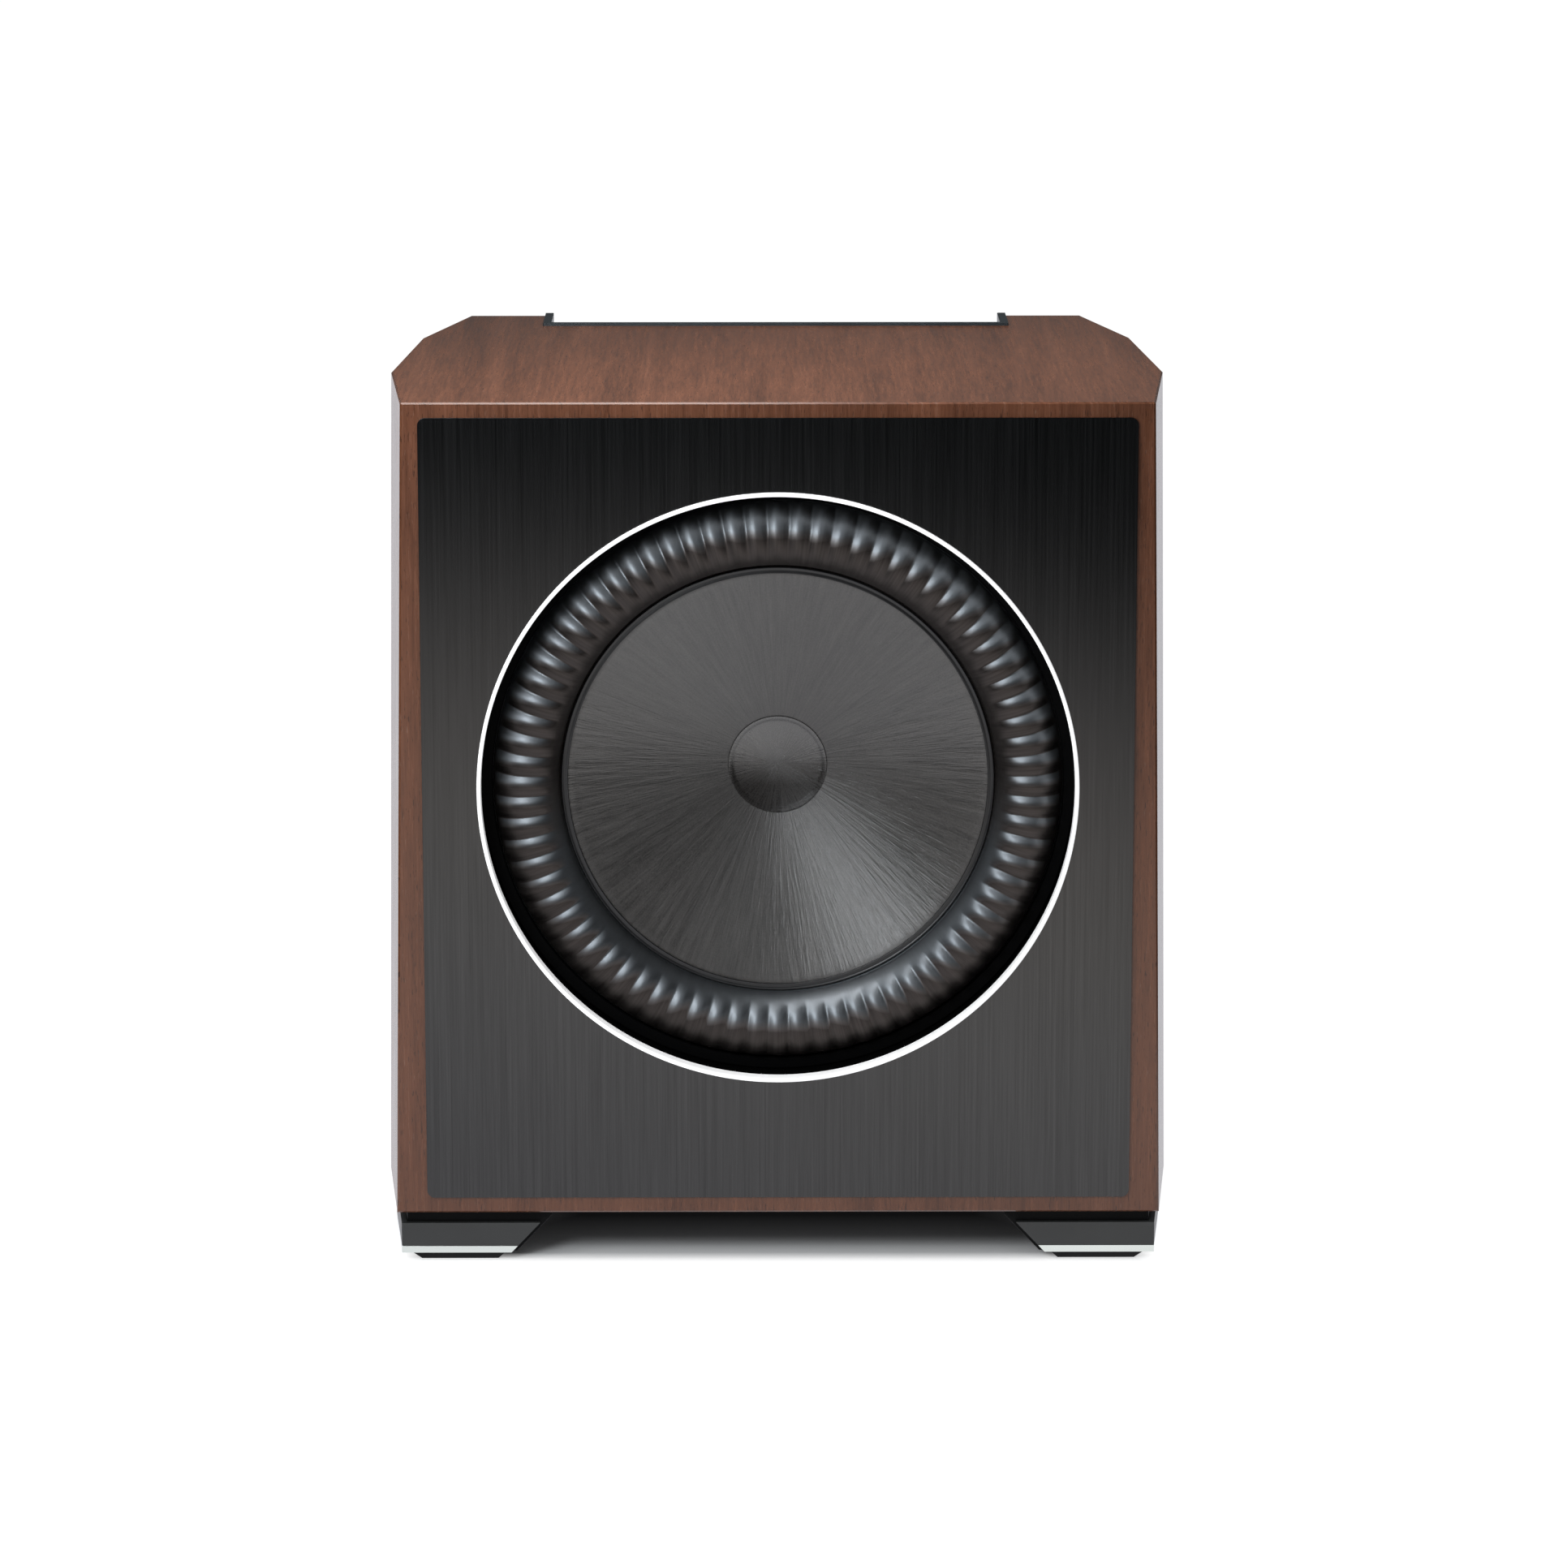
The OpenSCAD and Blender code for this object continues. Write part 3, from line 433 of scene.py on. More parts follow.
def satin_ring():
    """Bright satin ring: a pale coated finish with some light of its own, both a painted reflection
    of the bright room that a real ring would mirror."""
    s = Shader("satin_ring_painted_reflection")
    brush = s.turned_noise(s.polar(), 1.4, 9000, 3, 3)
    s.set(
        Base_Color=s.ramp(brush, (0.3, (0.90, 0.90, 0.91)), (0.7, (0.97, 0.97, 0.98))),
        Metallic=0.0,
        # Painted reflection: the ring glows a little, in place of the bright room it would mirror.
        Emission_Color=(1, 1, 1, 1),
        Emission_Strength=0.46,
        Roughness=s.spread(brush, 0.3, 0.7, 0.24, 0.38),
        Coat_Weight=0.6,
        Coat_Roughness=0.08,
        Normal=s.bump(brush, 0.04, 0.00004),
    )
    return s.material


def rubber(name, colour, rough, sheen, specular=0.5):
    """Plain rubber with a fine grain and, on soft kinds, a little sheen."""
    s = Shader(name)
    fine = s.noise(s.coords, 2600, 3, 0.6)
    cloud = s.noise(s.coords, 40, 3)
    s.set(
        Base_Color=s.ramp(cloud, (0.3, scaled_colour(colour, 0.75)), (0.7, scaled_colour(colour, 1.3))),
        Roughness=s.spread(s.math("ADD", fine, cloud), 0.6, 1.4, rough * 0.85, rough * 1.2),
        Normal=s.bump(fine, 0.10, 0.00008),
        Specular_IOR_Level=specular,
        Sheen_Weight=sheen,
        Sheen_Roughness=0.4,
        Sheen_Tint=(0.55, 0.65, 0.8, 1),
    )
    return s.material


def surround_rubber():
    """Black rubber whose gloss is drawn out along the ribs, with a painted highlight: the gloss is strongest
    and tinted cool where it faces up, and tinted warm elsewhere.
    """
    s = Shader("surround_rubber")
    polar = s.polar()
    dx, dz, _ = polar
    fine = s.noise(s.coords, 2200, 3, 0.6)
    drawn = s.turned_noise(polar, 90, 20, 1.0, 3, 0.6)
    # Painted highlight: more gloss, tinted cool, where the roll faces up; a warm tint where it does not.
    lit = s.spread(s.facing(smooth=True), -0.05, 0.26)
    specular = s.math("ADD", s.math("MULTIPLY", lit, 0.75), s.spread(drawn, 0.3, 0.7, 0.16, 0.25))
    s.set(
        Base_Color=s.ramp(drawn, (0.3, (0.0030, 0.0028, 0.0028)), (0.7, (0.0062, 0.0056, 0.0056))),
        IOR=2.0,
        Specular_IOR_Level=specular,
        Specular_Tint=s.mix(lit, (1.0, 0.86, 0.80), (0.86, 0.93, 1.0)),
        Roughness=s.spread(s.math("ADD", fine, drawn), 0.6, 1.4, 0.38, 0.48),
        Anisotropic=0.55,
        Tangent=s.join(dx, 0.0, dz),
        Normal=s.bump(s.math("ADD", s.math("MULTIPLY", fine, 0.4), drawn), 0.12, 0.00012),
    )
    return s.material


def cone_fibre(name, streak, colour, rough, painted_shade_upward=False):
    """Pressed fibre: hair-fine rings crossed by radial streaks, with a wedge-shaped sheen.
    painted_shade_upward takes the gloss off where the surface faces up: painted shade on that side."""
    s = Shader(name)
    polar = s.polar()
    dx, dz, _ = polar
    streaks = s.turned_noise(polar, 30, 24, 1.0, 5, 0.62, 0.15)
    threads = s.turned_noise(polar, 110, 90, 1.0, 3, 0.6, 0.3)
    rings = s.turned_noise(polar, 1.2, 2600, 1.0, 2, 0.5)
    fleck = s.noise(s.coords, 900, 3, 0.7)
    tone = s.weighted((streaks, 0.40), (threads, 0.25), (fleck, 0.35))
    height = s.weighted((rings, 0.12), (streaks, 1.3 * streak), (threads, 0.55 * streak))
    s.set(
        Base_Color=s.ramp(tone, (0.36, scaled_colour(colour, 0.40)), (0.64, scaled_colour(colour, 1.45))),
        Metallic=0.0,
        IOR=1.80,
        Roughness=s.spread(tone, 0.3, 0.7, rough * 0.85, rough * 1.15),
        Anisotropic=0.90,
        Tangent=s.join(dx, 0.0, dz),
        Normal=s.bump(height, 0.32, 0.0007),
    )
    # Painted shade: the gloss is taken off wherever the surface faces up.
    if painted_shade_upward:
        s.set(Specular_IOR_Level=s.spread(s.facing(smooth=True), -0.04, 0.12, 0.72, 0.15))
    return s.material


def moulded(name, colour, rough, specular=0.5):
    """Black moulding with a fine spark-eroded texture."""
    s = Shader(name)
    pits = s.cells(s.coords, 1600)
    cloud = s.noise(s.coords, 18, 3)
    fine = s.noise(s.coords, 1200, 2)
    s.set(
        Base_Color=s.ramp(cloud, (0.3, scaled_colour(colour, 0.85)), (0.7, scaled_colour(colour, 1.15))),
        Roughness=s.spread(s.math("ADD", fine, cloud), 0.6, 1.4, rough * 0.88, rough * 1.15),
        Specular_IOR_Level=specular,
        Normal=s.bump(s.math("ADD", pits, fine), 0.12, 0.00008),
    )
    return s.material


def woven(name, colour, scale):
    """Plain weave: two crossed sets of threads with resin between them."""
    s = Shader(name)
    x, _, z = s.split(s.coords)
    warp = s.math("SINE", s.math("MULTIPLY", x, scale))
    weft = s.math("SINE", s.math("MULTIPLY", z, scale))
    over = s.math("MULTIPLY", warp, weft)
    cloud = s.noise(s.coords, 60, 3)
    tone = s.spread(s.math("ADD", over, cloud), -0.6, 1.6)
    s.set(
        Base_Color=s.ramp(tone, (0.0, scaled_colour(colour, 0.55)), (1.0, colour)),
        Roughness=s.spread(cloud, 0.3, 0.7, 0.6, 0.8),
        Normal=s.bump(over, 0.4, 0.0002),
    )
    return s.material


def circuit_board():
    """Solder mask over copper tracks on a right-angled grid."""
    s = Shader("circuit_board")
    x, _, z = s.split(s.coords)
    tracks = s.new("ShaderNodeTexBrick", offset=0.5, squash=2.0, squash_frequency=3)
    s.link(s.join(x, z, 0.0), tracks.inputs["Vector"])
    tracks.inputs["Scale"].default_value = 60
    tracks.inputs["Mortar Size"].default_value = 0.03
    pads = s.spread(s.cells(s.join(x, z, 0.0), 170), 0.16, 0.12)
    line = s.math("SUBTRACT", 1.0, s.math("GREATER_THAN", tracks.outputs["Fac"], 0.5))
    mask = s.mix(line, (0.010, 0.075, 0.030), (0.006, 0.048, 0.020))
    s.set(
        Base_Color=s.mix(pads, mask, (0.62, 0.60, 0.55)),
        Metallic=s.math("MULTIPLY", pads, 0.9),
        Roughness=s.spread(s.noise(s.coords, 90, 2), 0.3, 0.7, 0.25, 0.4),
        Normal=s.bump(line, 0.2, 0.0002),
    )
    return s.material


def wound(name, colour):
    """Close turns of lacquered wire."""
    s = Shader(name)
    along = s.split(s.coords)[1]
    turns = s.math("SINE", s.math("MULTIPLY", along, 6200))
    cloud = s.noise(s.coords, 80, 3)
    s.set(
        Base_Color=s.ramp(cloud, (0.3, scaled_colour(colour, 0.7)), (0.7, colour)),
        Metallic=0.85,
        Roughness=s.spread(cloud, 0.3, 0.7, 0.22, 0.38),
        Normal=s.bump(turns, 0.5, 0.0002),
    )
    return s.material


def fibre_board(name, colour, rough=0.8):
    """Matt board of pressed chips."""
    s = Shader(name)
    chips = s.cells(s.scaled((1, 1, 3)), 700)
    dust = s.noise(s.coords, 1400, 3, 0.7)
    tone = s.weighted((chips, 0.5), (dust, 0.5))
    s.set(
        Base_Color=s.ramp(tone, (0.25, scaled_colour(colour, 0.8)), (0.7, scaled_colour(colour, 1.15))),
        Roughness=rough,
        Normal=s.bump(tone, 0.2, 0.0002),
    )
    return s.material


def lens():
    """Blue tinted lens, faintly lit from behind."""
    s = Shader("tinted_lens")
    cloud = s.noise(s.coords, 900, 2)
    s.set(
        Base_Color=s.ramp(cloud, (0.3, (0.30, 0.52, 0.80)), (0.7, (0.42, 0.64, 0.92))),
        Roughness=s.spread(cloud, 0.3, 0.7, 0.08, 0.16),
        Transmission_Weight=0.35,
        Coat_Weight=0.5,
        Emission_Color=(0.35, 0.6, 1.0, 1),
        Emission_Strength=0.25,
    )
    return s.material


WALNUT = walnut()
FASCIA = brushed_fascia()
RING = satin_ring()
POLISHED = bright_metal("polished_stripe", 0.14, (0.66, 0.70, 0.66))
ZINC = bright_metal("zinc_steel", 0.3, (0.62, 0.63, 0.65))
GOLD = bright_metal("gold_plate", 0.18, (0.90, 0.66, 0.28))
SURROUND = surround_rubber()
PAD_RUBBER = rubber("pad_rubber", (0.004, 0.004, 0.0042), 0.7, 0.0, 0.25)
CABLE_JACKET = rubber("cable_jacket", (0.012, 0.012, 0.013), 0.5, 0.05)
CONE = cone_fibre("cone_fibre", 1.0, (0.050, 0.0470, 0.0450), 0.36)
CAP = cone_fibre("dust_cap_fibre", 0.6, (0.022, 0.0200, 0.0190), 0.28, True)
BLACK_PART = moulded("black_moulding", (0.020, 0.021, 0.021), 0.45)
CLADDING = moulded("foot_cladding", (0.030, 0.0315, 0.031), 0.40)
FOOT_CORE = moulded("foot_core", (0.0022, 0.0023, 0.0023), 0.6, 0.12)
BAY_FRAME = moulded("bay_frame", (0.016, 0.022, 0.026), 0.40)
COVER = moulded("cover_ring", (0.0012, 0.0012, 0.0014), 0.75, 0.08)
KNOB = moulded("knob_black", (0.018, 0.018, 0.020), 0.38)
PANEL = mottled("anodised_panel", (0.020, 0.020, 0.022), 0.42, 0.3, 1500, 0.10)
FINS = mottled("anodised_fins", (0.016, 0.016, 0.018), 0.38, 0.35, 700, 0.08, stretch=(1, 1, 0.05))
CAST = mottled("cast_alloy", (0.045, 0.047, 0.050), 0.5, 0.5, 1100, 0.25)
OXIDE = mottled("black_oxide", (0.022, 0.022, 0.024), 0.35, 0.7, 1600, 0.08)
FERRITE = mottled("ferrite", (0.035, 0.035, 0.038), 0.6, 0.1, 800, 0.25)
COPPER = bright_metal("copper", 0.28, (0.86, 0.45, 0.28))
COIL = wound("coil_winding", (0.80, 0.36, 0.16))
TRANSFORMER = wound("transformer_winding", (0.50, 0.30, 0.08))
FILM = mottled("former_film", (0.50, 0.30, 0.09), 0.25, 0.0, 500, 0.05)
SPIDER = woven("spider_cloth", (0.42, 0.27, 0.08), 5200)
BOARD_GREEN = circuit_board()
SLEEVE = mottled("capacitor_sleeve", (0.02, 0.035, 0.12), 0.25, 0.0, 300, 0.03)
RAW_BOARD = fibre_board("fibre_board", (0.30, 0.19, 0.10))
BAY_PAINT = fibre_board("black_painted_board", (0.012, 0.012, 0.013), 0.62)
WADDING = mottled("wadding_fibre", (0.72, 0.71, 0.67), 0.95, 0.0, 420, 0.9, 0.12, Sheen_Weight=0.4)
WHITE_PART = mottled("white_moulding", (0.78, 0.78, 0.75), 0.32, 0.0, 900, 0.05, 0.05)
WHITE_PRINT = mottled("white_print", (0.70, 0.70, 0.69), 0.6, 0.0, 900, 0.05, 0.06)
RED_PART = mottled("red_moulding", (0.50, 0.02, 0.02), 0.35, 0.0, 900, 0.05, 0.1)
LENS = lens()

CAD_FINISH = {
    "top_panel": WALNUT, "bottom_panel": WALNUT, "side_left": WALNUT, "side_right": WALNUT,
    "front_baffle": WALNUT, "rear_panel": WALNUT, "amp_bay_tub": BAY_PAINT, "window_brace": RAW_BOARD,
    "front_fascia": FASCIA, "amp_bay_frame": BAY_FRAME,
    "foot_cores": FOOT_CORE, "foot_claddings": CLADDING, "foot_stripes": POLISHED, "foot_pads": PAD_RUBBER,
    "foot_bolts": OXIDE, "driver_gasket": PAD_RUBBER, "basket": CAST, "driver_screws": OXIDE,
    "coil_former": FILM, "voice_coil": COIL, "top_plate": ZINC, "magnets": FERRITE, "yoke": ZINC,
    "shorting_ring": COPPER, "terminal_block": BLACK_PART, "amp_plate": PANEL, "amp_screws": OXIDE,
    "heatsink": FINS, "amp_chassis": ZINC, "power_board": BOARD_GREEN, "power_transformer": TRANSFORMER,
    "filter_capacitors": SLEEVE, "amp_board": BOARD_GREEN, "input_board": BOARD_GREEN,
    "pot_bodies": BLACK_PART, "knob_level": KNOB, "knob_crossover": KNOB, "knob_phase": KNOB,
    "rca_jacks": GOLD, "xlr_socket": PANEL, "xlr_latch": ZINC, "trigger_jack": BLACK_PART,
    "mains_inlet": BLACK_PART, "inlet_pins": ZINC, "fuse_drawer": KNOB,
    "power_switch_housing": BLACK_PART, "power_rocker": KNOB, "mode_switch_body": BLACK_PART,
    "mode_slider": WHITE_PART, "status_led": LENS,
}
# Width of the rounded edges, in millimetres, of the parts that have them.
SOFT_EDGES = {
    "front_fascia": 0.35, "amp_bay_frame": 0.5, "foot_cores": 0.5, "foot_claddings": 0.35,
    "foot_stripes": 0.2, "foot_pads": 0.4, "heatsink": 0.35, "knob_level": 0.15, "knob_crossover": 0.15,
    "knob_phase": 0.15, "xlr_socket": 0.3, "mains_inlet": 0.4, "fuse_drawer": 0.3,
    "power_switch_housing": 0.4, "power_rocker": 0.4, "mode_slider": 0.15, "amp_screws": 0.25, "basket": 0.6,
    "rca_jacks": 0.2, "trigger_jack": 0.2,
}


def dress_cad_nodes():
    for name, finish in CAD_FINISH.items():
        node = NODES[name]
        for slot in node.material_slots:
            slot.material = finish
        if name in SOFT_EDGES:
            soften(node, SOFT_EDGES[name] * MM)


# ---------------------------------------------------------------- driver pieces

FLANGE_D = depth("driver_screws")[0] + 3 * MM
LIP_OUT = radius("surround")
RIM_R = radius("cone_rim")
CONE_R = radius("cone")
EDGE_R = 138 * MM
NECK_R = radius("coil_former")
FORMER_D = depth("coil_former")[0] - 0.1 * MM
NECK_D = FLANGE_D + (FORMER_D - FLANGE_D) * (EDGE_R - NECK_R) / (EDGE_R - NECK_R + 0.4 * MM)
ROLL_MIDDLE = 165.8 * MM
ROLL_R = 20.6 * MM
RIBS = 76
RIB_HEIGHT = 1.95 * MM
RIB_MEAN = 0.64
STEPS_PER_RIB = 14
# Where the ribs end and how fast they fade, in degrees round the roll from its outer edge.
RIB_OUTER_END = 8
RIB_OUTER_FADE = 26
RIB_INNER_END = 146
RIB_INNER_FADE = 44


def share(value):
    """The value held between 0 and 1."""
    return min(1.0, max(0.0, value))


def build_surround():
    """Half-roll of moulded rubber with radial ribs that fade out towards the cone."""
    middle = ROLL_MIDDLE
    roll = ROLL_R
    skin = 0.8 * MM
    level = FLANGE_D - 1.2 * MM
    lip_in = 139.6 * MM
    lip_out = LIP_OUT
    steps = 32
    front = [(lip_in, level)]
    front += arc((middle, level), roll + skin, 180, 360, steps)
    front += [(lip_out, level)]
    back = [(lip_out, FLANGE_D)]
    back += [(middle + roll - skin, FLANGE_D)]
    back += arc((middle, level), roll - skin, 360, 180, steps)
    back += [(middle - roll + skin, FLANGE_D), (lip_in, FLANGE_D)]
    loop = front + back
    sides = []
    for r, d in loop:
        angle = math.degrees(math.atan2(level - d, r - middle))
        on_roll = d < level - 0.2 * MM
        rise = share((RIB_INNER_END - angle) / RIB_INNER_FADE)
        rise *= share((angle - RIB_OUTER_END) / RIB_OUTER_FADE)
        window = rise * rise * (3 - 2 * rise) if on_roll else 0.0
        away = Vector((r - middle, d - level)).normalized() if on_roll else Vector((0, 0))
        sides.append((away, window))

    def ribs(angle, index):
        away, window = sides[index]
        wave = abs(math.cos(angle * RIBS / 2))
        lift = RIB_HEIGHT * (wave - RIB_MEAN) * window
        return away.x * lift, away.y * lift

    piece = ring_grid("surround_ribbed", loop, RIBS * STEPS_PER_RIB, ribs)
    piece.data.materials.append(SURROUND)
    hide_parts("surround")
    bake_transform(piece)


def cone_depth(r):
    """Depth of the cone's front face at a radius; the wall is very slightly curved."""
    t = (r - NECK_R) / (EDGE_R - NECK_R)
    return NECK_D + (FLANGE_D - NECK_D) * t + 0.6 * MM * math.sin(math.pi * share(t))


def build_cone():
    """Thin cone with a slightly curved wall and a flat edge lip."""
    wall = 1.6 * MM
    steps = 24
    stations = [NECK_R + (EDGE_R - NECK_R) * i / steps for i in range(steps + 1)]
    front = [(r, cone_depth(r)) for r in stations]
    front.append((CONE_R, FLANGE_D))
    back = [(CONE_R, FLANGE_D + wall)]
    back += [(r + 0.8 * MM, cone_depth(r) + wall) for r in reversed(stations[1:])]
    back.append((NECK_R, depth("cone")[1]))
    piece = ring_grid("cone_shell", front + back, 360)
    sharpen(piece, 50)
    place(piece, CONE, "cone_assembly", "cone")


def build_cone_rim():
    """Dark bead over the joint of cone and surround, with a fine raised lip."""
    d = FLANGE_D - 1.2 * MM
    r0 = 138.6 * MM
    r1 = RIM_R
    loop = [(r0, d), (r0, d - 0.5 * MM)]
    loop += arc((r0 + 0.5 * MM, d - 1.0 * MM), 0.5 * MM, 180, 270, 4)
    loop += [(r0 + 1.6 * MM, d - 1.2 * MM), (r1 - 1.6 * MM, d - 1.0 * MM)]
    loop += arc((r1 - 0.9 * MM, d - 0.9 * MM), 0.7 * MM, 250, 360, 5)
    loop += [(r1, d)]
    piece = ring_grid("cone_edge_bead", loop, 360)
    place(piece, rubber("edge_bead", (0.009, 0.009, 0.010), 0.33, 0.0), "cone_assembly", "cone_rim")


def build_dust_cap():
    """Shallow dish inside a thin lip that lies on the cone, with a fine step between them."""
    wall = 1.0 * MM
    lip_r = radius("dust_cap")
    dish_r = 28.9 * MM
    edge_d = cone_depth(dish_r) - wall
    sink = depth("dust_cap")[1] - wall - edge_d
    ball = (dish_r ** 2 + sink ** 2) / (2 * sink)
    middle = edge_d + sink - ball
    reach = math.asin(dish_r / ball)
    front = []
    for part in [i / 24 for i in range(24)] + [0.993, 1.0]:
        a = reach * part
        front.append((ball * math.sin(a), middle + ball * math.cos(a)))
    for along, rise in ((0.3, -0.05), (0.7, 0.10), (1.1, -0.05), (2.4, 0.0), (3.4, 0.0)):
        r = dish_r + along * MM
        front.append((r, cone_depth(r) - wall + rise * MM))
    seat = cone_depth(lip_r)
    front += [(lip_r - 0.25 * MM, seat - 0.75 * MM), (lip_r, seat - 0.3 * MM), (lip_r, seat)]
    front += [(NECK_R, cone_depth(NECK_R)), (dish_r, edge_d + wall)]
    back = []
    for i in range(16, -1, -1):
        a = reach * 0.98 * i / 16
        back.append(((ball + wall) * math.sin(a), middle + (ball + wall) * math.cos(a)))
    piece = disc_grid("dust_cap_dish", front + back, 192)
    sharpen(piece, 40)
    place(piece, CAP, "cone_assembly", "dust_cap")


def build_trim_ring():
    """Slim bright ring with a rounded front and a skirt into the baffle."""
    front, back = depth("trim_ring")
    inner = 194.8 * MM
    skirt = 196.4 * MM
    outer = RING_R
    seat = FASCIA_FRONT - FACE_Y
    round_r = 0.85 * MM
    loop = [(inner, back)]
    loop += arc((inner + round_r, front + round_r), round_r, 180, 270, 6)
    loop += arc((outer - round_r, front + round_r), round_r, 270, 360, 6)
    loop += [(outer, seat), (skirt, seat), (skirt, back)]
    piece = ring_grid("trim_ring_polished", loop, 720)
    sharpen(piece, 50)
    place(piece, RING, "cabinet", "trim_ring")


def build_flange_cover():
    """Black ring over the driver's screws, with a rounded inner lip."""
    front, back = depth("flange_cover")
    wall = 0.6 * MM
    ceiling = back - 3.4 * MM
    r0 = LIP_OUT + 0.3 * MM
    r1 = radius("flange_cover")
    loop = [(r0, back), (r0, front + 1.2 * MM)]
    loop += arc((r0 + 1.2 * MM, front + 1.2 * MM), 1.2 * MM, 180, 270, 5)
    loop += [(r1 - 0.8 * MM, front), (r1, front + 0.8 * MM), (r1, back), (r1 - wall, back)]
    loop += [(r1 - wall, ceiling), (r0 + wall, ceiling), (r0 + wall, back)]
    piece = ring_grid("flange_cover_ring", loop, 360)
    sharpen(piece, 40)
    place(piece, COVER, "cabinet", "flange_cover")


def build_spider():
    """Corrugated cloth disc between the coil former and the basket."""
    front, back = depth("spider")
    r_in = radius("coil_former") + 0.02 * MM
    r_out = radius("spider")
    waves = 6.5
    wave_height = 2.6 * MM
    steps = 90
    front_line = []
    for i in range(steps + 1):
        t = i / steps
        r = r_in + (r_out - r_in) * t
        fade = min(1, t / 0.08) * min(1, (1 - t) / 0.14)
        front_line.append((r, front + wave_height * fade * math.sin(2 * math.pi * waves * t)))
    back_line = [(r, d + (back - front)) for r, d in reversed(front_line)]
    piece = ring_grid("spider_corrugated", front_line + back_line, 180)
    piece.data.materials.append(SPIDER)
    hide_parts("spider")
    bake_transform(piece)


def sweep(name, path, r, sides=10):
    """A round cord along a list of points, closed at both ends."""
    points = [Vector(p) for p in path]
    vertices = []
    faces = []
    side = Vector((0, 0, 1))
    for i, p in enumerate(points):
        ahead = points[min(i + 1, len(points) - 1)] - points[max(i - 1, 0)]
        ahead.normalize()
        across = ahead.cross(side)
        if across.length < 1e-3:
            across = ahead.cross(Vector((1, 0, 0)))
        across.normalize()
        up = across.cross(ahead).normalized()
        for k in range(sides):
            a = 2 * math.pi * k / sides
            vertices.append(p + across * (r * math.cos(a)) + up * (r * math.sin(a)))
    for i in range(len(points) - 1):
        for k in range(sides):
            n = (k + 1) % sides
            faces.append((i * sides + k, i * sides + n, (i + 1) * sides + n, (i + 1) * sides + k))
    faces.append(tuple(range(sides)))
    faces.append(tuple((len(points) - 1) * sides + k for k in range(sides)))
    return add_mesh(name, vertices, faces)


def merge(name, pieces):
    """Joins the meshes of several pieces into one."""
    vertices = []
    faces = []
    for piece in pieces:
        start = len(vertices)
        vertices += [tuple(v.co) for v in piece.data.vertices]
        faces += [tuple(start + i for i in p.vertices) for p in piece.data.polygons]
        bpy.data.objects.remove(piece)
    return add_mesh(name, vertices, faces)


def build_leads():
    """Two braided wires that hang in a slack bow from the cone's neck to the terminal block."""
    low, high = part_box("tinsel_leads")
    slack = 3.2 * MM
    twist_r = 0.45 * MM
    twists = 9
    pieces = []
    for z in (low.z + 1 * MM, high.z - 1 * MM):
        for strand in range(3):
            path = []
            for i in range(41):
                t = i / 40
                x = high.x + (low.x - high.x) * t
                sag = slack * math.sin(math.pi * t)
                turn = 2 * math.pi * (twists * t + strand / 3)
                path.append((
                    x,
                    (low.y + high.y) / 2 + sag + twist_r * math.cos(turn),
                    z + twist_r * math.sin(turn),
                ))
            pieces.append(sweep("strand", path, 0.42 * MM, 6))
    piece = merge("tinsel_leads_braided", pieces)
    piece.data.materials.append(COPPER)
    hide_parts("tinsel_leads")
    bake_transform(piece)


def smooth_path(points, steps):
    """Catmull-Rom curve through the points."""
    ends = [points[0], *points, points[-1]]
    out = []
    for i in range(len(points) - 1):
        a, b, c, d = (Vector(p) for p in ends[i:i + 4])
        for k in range(steps):
            t = k / steps
            out.append(0.5 * (2 * b + (c - a) * t + (2 * a - 5 * b + 4 * c - d) * t * t
                              + (3 * b - a - 3 * c + d) * t ** 3))
    out.append(Vector(points[-1]))
    return out


def build_speaker_cable():
    """Two-core cable from the terminal block to the amplifier's housing."""
    low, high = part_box("speaker_cable")
    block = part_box("terminal_block")
    start = (block[0].x + 0.4 * MM, low.y + 2 * MM, AXIS_Z)
    end_z = high.z - 7 * MM
    route = [
        start,
        (-150 * MM, low.y + 4 * MM, AXIS_Z + 4 * MM),
        (-158 * MM, -40 * MM, AXIS_Z + 55 * MM),
        (-150 * MM, 25 * MM, end_z),
        (-110 * MM, 42 * MM, end_z),
        (-100 * MM, high.y - 18 * MM, end_z),
        (-100 * MM, high.y, end_z),
    ]
    cores = []
    centre = smooth_path(route, 14)
    for side in (-1, 1):
        path = [p + Vector((0, 0, side * 5 * MM)) for p in centre]
        cores.append(sweep("core", path, 1.9 * MM, 12))
    piece = merge("speaker_cable_pair", cores)
    place(piece, CABLE_JACKET, "cabinet", "speaker_cable")


def build_wadding():
    """Fluffy damping layers on the inner side walls."""
    source = NODES["wadding"]
    piece = bpy.data.objects.new("wadding_layers", source.data.copy())
    bpy.context.scene.collection.objects.link(piece)
    work = bmesh.new()
    work.from_mesh(piece.data)
    bmesh.ops.remove_doubles(work, verts=work.verts, dist=1e-5)
    bmesh.ops.triangulate(work, faces=work.faces)
    for _ in range(4):
        long_edges = [e for e in work.edges if e.calc_length() > 14 * MM]
        if not long_edges:
            break
        bmesh.ops.subdivide_edges(work, edges=long_edges, cuts=1)
        bmesh.ops.triangulate(work, faces=work.faces)
    work.normal_update()
    chance = random.Random(5)
    for vertex in work.verts:
        vertex.co -= vertex.normal * chance.uniform(0.2, 2.2) * MM
    work.to_mesh(piece.data)
    work.free()
    for polygon in piece.data.polygons:
        polygon.use_smooth = True
    piece.data.materials.clear()
    place(piece, WADDING, "cabinet", "wadding")


# ---------------------------------------------------------------- rear panel details

